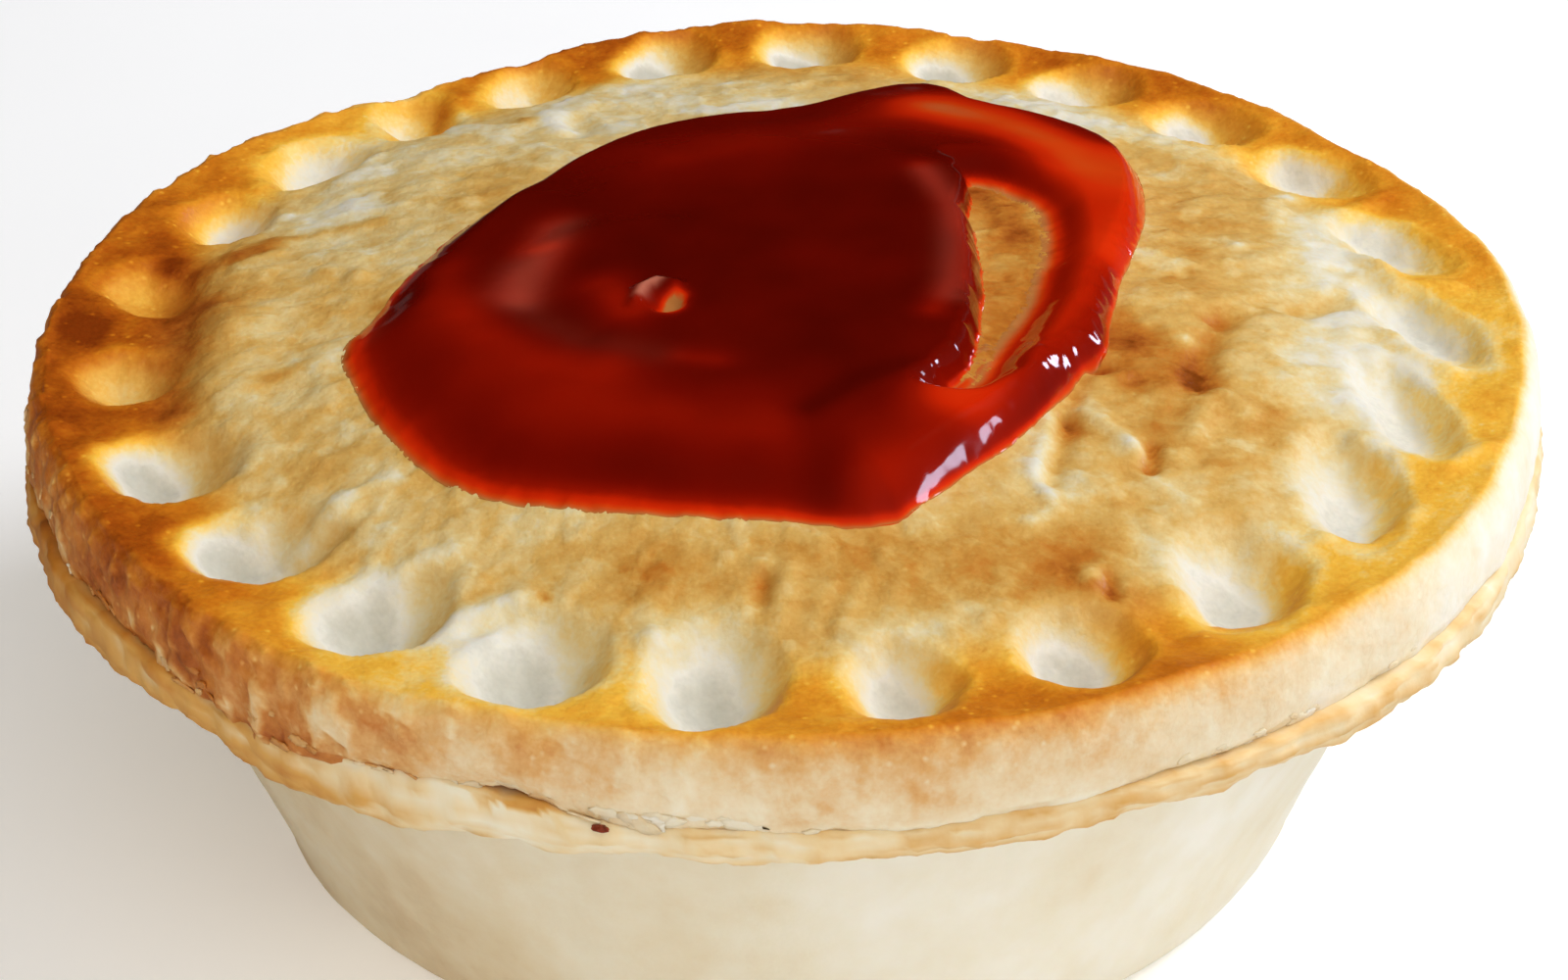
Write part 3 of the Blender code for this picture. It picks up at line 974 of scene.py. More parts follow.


# Marks that the baking and handling left on the lid. Their shade is partly painted
# light and shade: most raised marks are paler, a painted highlight on ridges, and most
# dents and grooves browner, painted shade in them, besides real browning.
LID_MARKS: tuple[Mark, ...] = (
    # Upright wrinkles and a burst bubble at the front.
    Mark(((0.3, -36.9), (-0.6, -41.7)), 0.7, 0.28, -0.12),
    Mark(((3.1, -38.0), (1.8, -41.9)), 0.7, 0.24, -0.1),
    Mark(((5.2, -37.6), (3.6, -42.1)), 0.7, 0.22, -0.1),
    Mark(((7.7, -36.6), (7.1, -39.4)), 0.6, 0.18, -0.08),
    Mark(((-1.4, -37.0), (-1.6, -39.6)), 0.6, -0.3, 0.22),
    Mark(((-1.5, -36.2),), 0.8, 0.3, -0.15),
    Mark(((-9.2, -37.2),), 3.4, 0.0, 0.26),
    Mark(((-8.6, -43.0),), 1.1, 0.6, -0.2),
    # Grooves and folds on the left of the front.
    Mark(((-34.0, -30.0), (-29.6, -26.6)), 1.1, 0.45, -0.16),
    Mark(((-32.8, -31.2), (-28.4, -28.0)), 1.0, -0.4, 0.02),
    Mark(((-29.6, -26.6), (-24.3, -25.6)), 0.7, -0.16, 0.06),
    Mark(((-26.6, -35.4), (-24.3, -33.8), (-21.8, -33.1)), 0.9, 0.4, -0.16),
    Mark(((-24.0, -35.0),), 1.4, -0.15, 0.05),
    Mark(((-21.2, -40.2), (-17.6, -38.5)), 1.0, 0.4, -0.2),
    Mark(((-20.4, -41.2), (-16.8, -39.6)), 0.9, -0.35, 0.0),
    Mark(((-15.7, -38.5),), 0.45, -0.15, 0.4),
    # Folds, torn flakes and pricks on the right.
    Mark(((21.0, -14.5), (19.6, -19.0)), 0.7, -0.5, 0.2, Fall.ROUND),
    Mark(((19.9, -19.3), (18.1, -26.9)), 0.7, -0.45, 0.16),
    Mark(((18.6, -19.4), (16.9, -26.4)), 0.8, 0.35, -0.14),
    Mark(((17.6, -27.6), (18.2, -29.6), (16.4, -31.4)), 0.6, 0.3, -0.2),
    Mark(((20.6, -18.4), (23.2, -20.8), (24.4, -23.6)), 0.8, 0.4, -0.14),
    Mark(((20.2, -20.2),), 1.6, -0.35, 0.24),
    Mark(((25.4, -21.8), (25.0, -24.6)), 0.6, -0.7, 0.3),
    Mark(((23.9, -22.6),), 0.9, 0.4, -0.22),
    Mark(((28.2, -20.6), (29.2, -17.1), (30.6, -14.8), (32.6, -16.8)), 0.9, 0.4, -0.16),
    Mark(((24.6, -25.6), (27.2, -27.9)), 0.8, 0.25, -0.12),
    Mark(((31.9, -4.5), (30.1, -9.6), (29.2, -13.5)), 1.3, -0.6, 0.26),
    Mark(((41.4, 2.0), (38.6, -0.6), (35.2, -1.6), (31.9, -4.2)), 1.3, -0.45, 0.16),
    Mark(((34.0, -8.0),), 4.5, 0.5, -0.02),
    Mark(((25.0, -8.2),), 3.8, -0.1, 0.3),
    Mark(((25.4, -14.0), (28.4, -12.6)), 2.2, 0.0, 0.24),
    Mark(((22.4, -12.5),), 1.1, -0.8, 0.3),
    Mark(((21.3, -14.6), (24.4, -13.2)), 0.6, 0.3, 0.0),
    Mark(((20.2, -36.2),), 1.0, 0.4, -0.2),
    Mark(((21.3, -36.2), (21.4, -38.2)), 0.55, -0.5, 0.3),
    Mark(((29.1, -7.9),), 0.7, 0.2, -0.3),
    Mark(((34.5, 8.5),), 0.8, 0.2, -0.3),
    Mark(((39.7, 20.1),), 0.9, 0.2, -0.3),
    Mark(((42.9, -5.6),), 0.8, 0.2, -0.2),
    Mark(((27.0, -33.0), (35.0, -24.0)), 4.0, 0.3, -0.16),
    Mark(((40.5, -14.0), (42.6, 2.0), (41.0, 14.0)), 3.8, 0.2, -0.26),
    # The bulge on the left: its side that falls to the rim, turned from the light, is
    # browner, partly browning and partly painted shade.
    Mark(((-41.0, 10.0), (-41.0, 1.0), (-40.0, -9.0)), 3.2, 0.9, 0.0),
    Mark(((-46.0, 5.4), (-44.0, -2.0), (-43.4, -12.0)), 2.4, -0.3, 0.28),
    Mark(((-42.6, 1.8),), 1.6, 0.0, 0.3),
    Mark(((-44.0, 8.4), (-39.6, 10.6)), 1.6, 0.0, 0.34),
    Mark(((-39.0, 12.4), (-31.0, 13.4)), 1.0, 0.2, 0.22),
    Mark(((-36.6, -10.2), (-34.6, -9.0)), 0.8, 0.1, 0.22),
    Mark(((-51.6, 0.0),), 1.8, 0.0, 0.3),
    # Pale back left, where the lid sagged beside the pushed-in rim.
    Mark(((-34.0, 22.0), (-18.0, 29.5), (0.0, 33.0)), 5.0, -0.1, -0.12),
    Mark(((-17.7, 30.0), (-18.6, 33.4)), 1.3, 0.5, -0.2),
    Mark(((-16.4, 29.0), (-16.6, 33.0)), 1.2, -0.5, 0.0),
    Mark(((-27.0, 42.0), (-31.0, 36.0)), 1.8, 0.6, 0.24),
    Mark(((-4.4, 41.0),), 1.0, 0.2, -0.3),
    Mark(((14.0, 41.0), (30.0, 30.0)), 3.2, 0.1, -0.14),
    # Broad patches where the oven browned the dome more or less.
    Mark(((-6.0, -36.5), (4.0, -36.0)), 4.5, 0.0, 0.16),
    Mark(((8.0, -36.0), (17.0, -34.5)), 4.5, 0.0, 0.2),
    Mark(((30.0, -19.0), (25.0, -26.0)), 6.0, 0.0, 0.16),
    Mark(((27.0, -10.0), (32.0, 2.0), (33.0, 18.0)), 6.0, 0.0, 0.1),
    Mark(((-12.0, 41.0),), 7.0, 0.0, -0.22),
    Mark(((-42.0, 14.0), (-43.0, 4.0), (-42.0, -4.0)), 4.0, 0.0, 0.16),
    Mark(((-36.0, 16.0),), 4.0, 0.0, -0.16),
    Mark(((-24.0, -33.0), (-34.0, -20.0)), 5.0, 0.0, 0.0),
    Mark(((16.7, -35.6),), 4.5, 0.0, 0.14),
    Mark(((31.6, -16.1),), 4.5, 0.0, 0.12),
    Mark(((35.5, 6.6),), 4.0, 0.0, -0.14),
    Mark(((-35.0, 11.6),), 4.0, 0.0, -0.14),
    Mark(((-46.7, 10.4),), 1.6, 0.0, 0.3),
    Mark(((-49.8, -8.5),), 1.6, 0.0, 0.2),
    Mark(((-20.5, 32.8),), 0.9, 0.2, 0.3),
    Mark(((28.8, -51.0),), 3.0, 0.0, 0.16),
    # Crust stained by sauce in the bare crescent.
    Mark(
        ((14.5, 14.5), (17.5, 6.5), (17.6, 0.0), (16.5, -8.0), (13.5, -14.5)),
        4.0,
        0.0,
        0.42,
    ),
)


# Golden lips that stand up between the pits on the right and cross their white
# floors: the shade says how far they hide the white.
PIT_LIPS: tuple[Mark, ...] = (
    Mark(((43.6, 17.6), (47.5, 20.6)), 1.0, 0.35, 1.0),
    Mark(((43.4, 13.0), (44.9, 8.7), (46.4, 5.4), (50.3, 4.8)), 1.1, 0.5, 1.0),
    Mark(((44.6, -3.0), (46.0, -5.5), (48.3, -8.0)), 0.9, 0.4, 0.9),
    Mark(((40.2, -18.2), (42.7, -20.6), (45.7, -22.0), (48.8, -19.5)), 1.0, 0.55, 1.0),
    Mark(((35.9, -30.9), (39.0, -31.2), (40.5, -29.8)), 0.9, 0.45, 0.9),
    Mark(((28.2, -40.3), (31.2, -40.1), (34.0, -39.6)), 0.7, 0.35, 0.9),
)


@dataclass(frozen=True)
class TopRelief:
    """Fine relief on the lid's top, the same for the crust and the sauce on it."""

    dome_edge: tuple[float, float] = (43.0, 48.0)
    broad: Grain = Grain(0.5, 17.0, 1, 2)
    # The share of the broad swells that is left on the rim, and of all in the pits.
    broad_on_rim: float = 0.25
    calm_in_pits: float = 0.25
    lumps: Grain = Grain(0.26, 6.5, 2, 2)
    grain: Grain = Grain(0.13, 1.8, 3)
    blister_size: float = 4.2
    blister_seed: int = 5
    blister_height: float = 0.26
    blister_share: float = 0.35
    blister_edge: tuple[float, float] = (0.05, 0.46)
    wrinkles: Grain = Grain(0.12, 3.2, 4, ridged=True)
    peel: Grain = Grain(1.0, 5.0, 27)
    peel_edge: tuple[float, float] = (0.12, 0.17)
    peel_height: float = 0.14
    peel_paler: float = 0.08
    plate_size: float = 4.2
    plate_seed: int = 29
    plate_height: float = 0.16
    plate_shade: float = 0.09
    # How far the plates' outlines are pulled about, east and north.
    plate_pull: tuple[Grain, Grain] = (Grain(1.4, 3.4, 45), Grain(1.4, 3.4, 46))
    pit_wrinkles: Grain = Grain(0.13, 1.8, 6, ridged=True)

    def rise(self, x: Array, y: Array, in_pit: Array) -> tuple[Array, Array]:
        """Rise of the baked surface over the smooth form, and the marks' browning and painted
        shade.

        Layers of noise from broad swells to grain, thin wrinkles, blisters where a
        cell's own number is low, scales of crust that each lie a little higher or
        lower, thin peeling flakes where a noise passes a threshold, and the marks. Pits
        are calmer, with fine creases.

        Args:
            x: East coordinates.
            y: North coordinates.
            in_pit: 1 inside the pits and 0 outside.

        Returns:
            The rise and the extra browning, with the marks' painted light and shade.
        """
        points = flat_places(x, y)
        dome = 1.0 - smooth_step(*self.dome_edge, np.hypot(x, y))
        calm = between(1.0, self.calm_in_pits, in_pit)
        distance, chance = cell_noise(points, self.blister_size, self.blister_seed)
        blister = 1.0 - smooth_step(*self.blister_edge, distance)
        blister = blister * (chance < self.blister_share)
        rise = self.broad.at(points) * between(self.broad_on_rim, 1.0, dome) * calm
        rise += self.lumps.at(points) * calm + self.grain.at(points)
        rise += self.wrinkles.at(points) * dome
        rise += self.blister_height * blister * calm
        rise -= self.pit_wrinkles.at(points) * in_pit
        pull = np.stack([grain.at(points) for grain in self.plate_pull] + [0 * x], -1)
        _, plate = cell_noise(points + pull, self.plate_size, self.plate_seed)
        plain = dome * (1.0 - in_pit)
        plate = (plate - 0.5) * plain
        peeled = smooth_step(*self.peel_edge, self.peel.at(points)) * plain
        rise += self.plate_height * plate + self.peel_height * peeled
        marked, shade = lay_marks(x, y, LID_MARKS)
        shade = shade + self.plate_shade * plate - self.peel_paler * peeled
        return rise + marked, shade


@dataclass(frozen=True)
class PastryLid:
    """The golden lid: dome, thumb pits, crest and the outer wall down to the seam."""

    form: LidForm = LidForm()
    pits: PitRing = PitRing()
    relief: TopRelief = TopRelief()
    columns: int = 700
    # Ring radii on the top: from, to and step.
    top_rings: tuple = (
        (1.0, 12.0, 1.8), (12.0, 42.0, 0.5), (42.0, 46.0, 0.36), (46.0, 53.9, 0.29),
    )
    wall_rings: int = 28
    # Outer wall: how far it stands out from the crest, and its share of the height.
    wall_path: tuple = (
        (0.0, 1.0), (0.5, 0.965), (1.0, 0.86), (1.45, 0.66), (1.65, 0.4), (1.55, 0.14),
        (1.1, 0.0),
    )
    under_insets: tuple[float, ...] = (0.8, 2.0, 5.0, 20.0, 53.0)
    # Rings after the crest's, from and to, over which the wall takes over from the top.
    wall_blend: tuple[float, float] = (-3.0, 4.0)
    # Shares of the way to a pit's edge over which three things fade out: its creases,
    # its own browning, and where it isn't coloured like the rim.
    crease_edge: tuple[float, float] = (0.6, 1.05)
    pit_edge: tuple[float, float] = (0.65, 1.0)
    plain_edge: tuple[float, float] = (0.6, 1.0)
    # The foot of the wall lies this much under the seam, and is ragged.
    foot_overlap: float = 0.12
    foot_radius: float = 55.0
    foot_waves: Grain = Grain(0.26, 7.0, 51)
    foot_teeth: Grain = Grain(0.16, 1.9, 52)
    slit_bearing: float = 251.8
    slit_spread: float = 3.4
    slit_height: float = 0.6
    slit_bake: float = 0.95
    dark_slit_share: float = 1.2
    # How far the wall's foot has torn up from the seam.
    foot_rise: Table = by_bearing({
        0: 0.0, 190: 0.1, 206: 0.4, 214: 0.6, 220: 0.5, 224: 0.3, 228: -0.2, 232: -0.9,
        235: -0.8, 238.5: 0.2, 241: 0.7, 246: 0.9, 250: 1.0, 254: 0.6, 258: 0.1, 264: 0.0,
    })
    foot_drop: float = 0.5
    foot_drop_bearing: float = 205.0
    foot_drop_spread: float = 34.0
    # Leaves of dough at the foot, upright folds, roughness and lifted flakes.
    leaf_heights: tuple[float, float] = (0.5, 2.4)
    leaves: Grain = Grain(0.3, 2.2, 7, 2, (0.5, 0.5, 3.2))
    folds: Grain = Grain(0.06, 4.0, 8, 2, (1.0, 1.0, 0.18))
    folds_lost_at_foot: float = 0.6
    rough: Grain = Grain(0.3, 1.4, 10, 3, (1.0, 1.0, 1.3))
    rough_least: float = 0.35
    flakes: Grain = Grain(1.0, 2.2, 9, 3, (1.0, 1.0, 0.6))
    flake_edge: tuple[float, float] = (0.14, 0.24)
    flake_rise: float = 0.18
    flake_paler: float = 0.24
    palest: float = 0.14
    # The dome's browning, and its patches, spots, crackle and freckles.
    dome_bake: float = 0.39
    patches: Grain = Grain(1.0, 13.0, 21)
    spots: Grain = Grain(1.0, 3.6, 22)
    dome_patches: float = 0.22
    rim_patches: float = 0.14
    spot_share: float = 0.14
    pit_spots: float = 0.1
    crackle: Grain = Grain(0.04, 2.6, 25, ridged=True)
    freckles: Grain = Grain(0.08, 1.1, 26, 2)
    # The rim's browning starts here, and is less on its inner side and by the pits.
    rim_start: tuple[float, float] = (43.0, 48.0)
    glaze_start: tuple[float, float] = (43.0, 48.5)
    inner_side: tuple[float, float] = (46.0, 51.0)
    inner_paler: float = 0.16
    beside_width: float = 0.16
    beside_paler: float = 0.1
    # Bearings, spreads and shares at which the pits' insides have no rim colour.
    plain_pits: tuple = ((225.0, 45.0, 1.0), (85.0, 40.0, 0.8))
    # The wall's blotches and spots: strength on raw dough, and more as it browns.
    wall_blotches: Grain = Grain(1.0, 5.0, 23, 3, (1.0, 1.0, 0.8))
    wall_spots: Grain = Grain(1.0, 1.7, 24, 3, (1.0, 1.0, 0.8))
    blotch_shares: tuple[float, float] = (0.08, 0.26)
    wall_spot_shares: tuple[float, float] = (0.05, 0.26)
    wall_power: float = 0.8
    # A dark crease over the foot on the left: painted shade in the groove under the
    # drawn-in wall, with some browning.
    crease_height: float = 0.3
    crease_width: float = 0.7
    crease_shade_bake: float = 0.3
    crease_bearing: float = 200.0
    crease_spread: float = 40.0
    rim_bake: Table = by_bearing({
        0: 0.41, 10: 0.55, 25: 0.63, 40: 0.7, 52: 0.74, 62: 0.74, 75: 0.7, 95: 0.8, 108: 0.88,
        118: 0.82, 125: 0.46, 135: 0.54, 150: 0.7, 162: 0.82, 178: 0.88, 192: 0.9, 205: 0.8,
        214: 0.88, 221: 0.82, 230: 0.6, 242: 0.34, 257: 0.48, 270: 0.6, 285: 0.7, 298: 0.74,
        308: 0.56, 320: 0.44, 333: 0.43, 346: 0.41,
    })
    # The pits' walls where they are not white.
    pit_bake: Table = by_bearing({
        0: 0.32, 20: 0.38, 45: 0.56, 60: 0.6, 90: 0.55, 120: 0.5, 160: 0.6, 195: 0.48,
        215: 0.42, 245: 0.38, 262: 0.46, 280: 0.7, 300: 0.66, 325: 0.44, 345: 0.33,
    })
    # The dough in the pits: whitest on the right; greyer at the front and the back,
    # which is painted shade on pit floors that lie in shade.
    pit_floor_bake_and_shade: Table = by_bearing({
        0: 0.09, 40: 0.08, 60: 0.0, 85: -0.03, 102: -0.03, 120: 0.08, 150: 0.11, 175: 0.1,
        200: 0.02, 240: 0.02, 268: 0.03, 279: 0.06, 293: 0.03, 306: 0.04, 316: 0.06, 330: 0.08,
    })
    wall_top_bake: Table = by_bearing({
        0: 0.1, 20: 0.14, 45: 0.36, 70: 0.5, 90: 0.6, 110: 0.6, 130: 0.5, 150: 0.56, 180: 0.68,
        200: 0.73, 215: 0.77, 232: 0.86, 240: 0.7, 250: 0.52, 262: 0.42, 276: 0.58, 292: 0.46,
        300: 0.38, 312: 0.32, 325: 0.2, 340: 0.1,
    })
    wall_foot_bake: Table = by_bearing({
        0: 0.06, 20: 0.08, 45: 0.18, 70: 0.3, 90: 0.36, 130: 0.38, 150: 0.5, 180: 0.66,
        200: 0.66, 215: 0.74, 232: 0.68, 240: 0.5, 250: 0.33, 265: 0.26, 280: 0.22, 300: 0.16,
        320: 0.1, 340: 0.06,
    })
    # How far down the wall the rim's glaze ran, in drips, and its part in the colours.
    drips: Grain = Grain(0.6, 2.4, 28, 2, (1.0, 1.0, 0.4))
    glaze_over_wall: float = 0.85
    glaze_over_bake: float = 0.8
    glaze_depth: Table = by_bearing({
        0: 0.5, 90: 1.4, 180: 2.2, 215: 2.2, 235: 1.6, 250: 0.9, 290: 0.6,
    })
    # How far the wall's foot draws in over the flange.
    undercut_height: float = 2.0
    undercut: Table = by_bearing({
        0: 0.0, 90: 0.1, 170: 0.3, 215: 0.35, 245: 0.3, 262: 0.1, 300: 0.0,
    })
    # How flaky the wall is.
    flakiness: Table = by_bearing({0: 0.1, 90: 0.7, 180: 1.0, 235: 1.0, 255: 0.5, 290: 0.2})

    def build(self) -> tuple[bpy.types.Object, RingSurface]:
        """Builds the lid and returns it with its surface, for what lies on it."""
        surface = self.surface()
        return surface.build("lid_crust", LID_PASTRY.make()), surface

    def surface(self) -> RingSurface:
        """Rings over the top, down the wall and back under, then relief and browning.

        A ring on the top is a circle at its radius, stretched to the crest near the
        rim, at the form's height less the pits. A ring on the wall follows the wall
        path from the crest to the ragged foot. Relief moves points along normals.
        """
        bearing = np.arange(self.columns) * 360.0 / self.columns
        top = self.top_points(bearing)
        wall = self.wall_points(bearing)
        under = self.under_points(wall[-1])
        surface = RingSurface(np.concatenate([top, wall, under]))
        self.add_relief(surface, len(top), len(wall))
        return surface

    def top_points(self, bearing: Array) -> Array:
        """Points of the top, as rings by columns."""
        parts = [np.arange(low, high, step) for low, high, step in self.top_rings]
        radius = np.concatenate(parts)[:, None] * np.ones_like(bearing)
        turn = np.radians(bearing) * np.ones_like(radius)
        stretch = smooth_step(self.form.dome_radius, self.form.crest_radius, radius)
        placed = radius + stretch * (self.form.rim_radius(bearing) - self.form.crest_radius)
        x, y = placed * np.cos(turn), placed * np.sin(turn)
        height = self.form.top(radius, np.degrees(turn)) - self.pits.press(x, y)["depth"]
        return np.stack([x, y, height], -1)

    def foot_height(self, bearing: Array) -> Array:
        """Height of the wall's ragged foot, lifted where the seam gapes."""
        places = ring_places(self.foot_radius, bearing)
        ragged = self.foot_waves.at(places) + self.foot_teeth.at(places)
        slit = self.slit_height * swell(bearing, self.slit_bearing, self.slit_spread)
        low = self.foot_drop * swell(bearing, self.foot_drop_bearing, self.foot_drop_spread)
        torn = around(bearing, self.foot_rise)
        return self.form.seam_height - self.foot_overlap + ragged + slit + torn - low

    def wall_points(self, bearing: Array) -> Array:
        """Points of the wall, as rings by columns, from the crest to the foot.

        The crest is notched where a pit reaches it.
        """
        path = smooth_path(self.wall_path, self.wall_rings)
        rim = self.form.rim_radius(bearing)
        turn = np.radians(bearing)
        notch = self.pits.press(rim * np.cos(turn), rim * np.sin(turn))["depth"]
        crest = self.form.rim_height(bearing) - notch
        foot = self.foot_height(bearing)
        height = foot + path[:, 1:] * (crest - foot)
        low = 1.0 - smooth_step(0.0, self.undercut_height, height - foot)
        radius = rim + path[:, :1] - around(bearing, self.undercut) * low
        return ring_places(radius, bearing, height)

    def under_points(self, foot: Array) -> Array:
        """Rings that close the lid underneath, inwards from the foot."""
        radius = np.hypot(foot[:, 0], foot[:, 1])
        rings = []
        for number, inset in enumerate(self.under_insets):
            shrink = (radius - inset) / radius
            # The first ring is level with the foot, the third with the seam.
            level = between(foot[:, 2], self.form.seam_height, min(1.0, number / 2))
            rings.append(np.stack([foot[:, 0] * shrink, foot[:, 1] * shrink, level], -1))
        return np.array(rings)

    def add_relief(self, surface: RingSurface, top_count: int, wall_count: int) -> None:
        """Raises the baked relief and works out the browning of every point.

        Args:
            surface: The smooth surface, which is changed.
            top_count: How many rings are on the top.
            wall_count: How many rings are on the wall.
        """
        points = surface.points
        rings = np.arange(len(points))[:, None] * np.ones(self.columns)
        x, y, z = points[..., 0], points[..., 1], points[..., 2]
        bearing = np.degrees(np.arctan2(y, x)) % 360.0
        pits = self.pits.press(x, y)
        on_wall = smooth_step(*self.wall_blend, rings - top_count)
        under = (rings >= top_count + wall_count).astype(float)
        in_pit = (1.0 - smooth_step(*self.crease_edge, pits["share"])) * (1.0 - on_wall)
        top_rise, shade = self.relief.rise(x, y, in_pit)
        lip_rise, lip = lay_marks(x, y, PIT_LIPS)
        top_rise = top_rise + lip_rise
        white = pits["white"] * (1.0 - np.clip(lip, 0.0, 1.0))
        wall_rise, torn = self.wall_relief(points, bearing)
        rise = between(top_rise, wall_rise, on_wall)
        surface.raise_by(rise * (1.0 - under))

        below = np.clip(self.form.rim_height(bearing) - z, 0, None)
        drips = 1.0 + self.drips.at(points)
        run = np.exp(-below / (around(bearing, self.glaze_depth) * drips))
        radius = np.hypot(x, y)
        inside = (1.0 - smooth_step(*self.plain_edge, pits["share"])) * (1.0 - on_wall)
        plain = sum(
            share * swell(bearing, middle, spread) for middle, spread, share in self.plain_pits
        )
        rim = smooth_step(*self.glaze_start, radius) * (1.0 - inside * np.minimum(plain, 1.0))
        surface.values["wall"] = on_wall * (1.0 - self.glaze_over_wall * run)
        surface.values["rim"] = rim
        top = self.top_browning(points, radius, bearing, pits) + shade
        top = np.maximum(top, self.palest)
        # The pits' white floors, greyed at the front and back with painted shade.
        top = between(top, around(bearing, self.pit_floor_bake_and_shade), white)
        wall = self.wall_browning(points, bearing) - self.flake_paler * torn
        wall = between(wall, around(bearing, self.rim_bake), self.glaze_over_bake * run)
        slit = swell(bearing, self.slit_bearing, self.dark_slit_share * self.slit_spread)
        wall = between(wall, self.slit_bake, slit * under)
        surface.values["bake"] = between(top, wall, on_wall)

    def wall_relief(self, points: Array, bearing: Array) -> tuple[Array, Array]:
        """Relief of the wall: upright folds, leaves of dough at the foot and flakes.

        Folds are noise stretched upwards, leaves are noise stretched along the rim,
        and flakes are where a third noise passes a threshold.

        Args:
            points: The smooth surface.
            bearing: The points' bearings.

        Returns:
            The rise, and 1 where a flake lifted and 0 elsewhere.
        """
        above = points[..., 2] - self.form.seam_height
        near_seam = 1.0 - smooth_step(*self.leaf_heights, above)
        flaky = around(bearing, self.flakiness)
        torn = smooth_step(*self.flake_edge, self.flakes.at(points)) * flaky
        rise = self.leaves.at(points) * near_seam
        rise += self.folds.at(points) * (1.0 - self.folds_lost_at_foot * near_seam)
        rise += self.rough.at(points) * (self.rough_least + flaky)
        return rise + self.flake_rise * torn, torn

    def top_browning(
        self, points: Array, radius: Array, bearing: Array, pits: dict[str, Array]
    ) -> Array:
        """How brown the top is outside the pits, from 0 raw white to 1 dark brown.

        The dome is mid gold in patches. The rim takes its value from the table round
        the pie, a little less beside a pit.
        """
        patches, spots = self.patches.at(points), self.spots.at(points)
        dome = self.dome_bake + self.dome_patches * patches + self.spot_share * spots
        dome = dome + self.crackle.at(points) + self.freckles.at(points)
        rim = around(bearing, self.rim_bake) + self.rim_patches * patches
        rim = rim + self.spot_share * spots
        rim = rim - self.inner_paler * (1.0 - smooth_step(*self.inner_side, radius))
        beside = np.exp(-(((pits["share"] - 1.0) / self.beside_width) ** 2))
        rim = rim - self.beside_paler * beside
        inside = 1.0 - smooth_step(*self.pit_edge, pits["share"])
        pit = around(bearing, self.pit_bake) + self.pit_spots * spots
        rim = between(rim, pit, inside)
        return between(dome, rim, smooth_step(*self.rim_start, radius))

    def wall_browning(self, points: Array, bearing: Array) -> Array:
        """How brown the wall is: from its value at the crest to that at the foot, with painted
        shade in a crease over the foot on the left.
        """
        foot = self.form.seam_height
        above = points[..., 2] - foot
        share = np.clip(above / (self.form.rim_height(bearing) - foot), 0, 1)
        low, high = around(bearing, self.wall_foot_bake), around(bearing, self.wall_top_bake)
        wall = between(low, high, share**self.wall_power)
        crease = np.exp(-(((above - self.crease_height) / self.crease_width) ** 2))
        crease = crease * swell(bearing, self.crease_bearing, self.crease_spread)
        shares = [raw + more * wall for raw, more in (self.blotch_shares, self.wall_spot_shares)]
        uneven = shares[0] * self.wall_blotches.at(points)
        uneven = uneven + shares[1] * self.wall_spots.at(points)
        # The crease adds painted shade.
        return wall + uneven + self.crease_shade_bake * crease


# -------------------------------------------------------------------------- the case


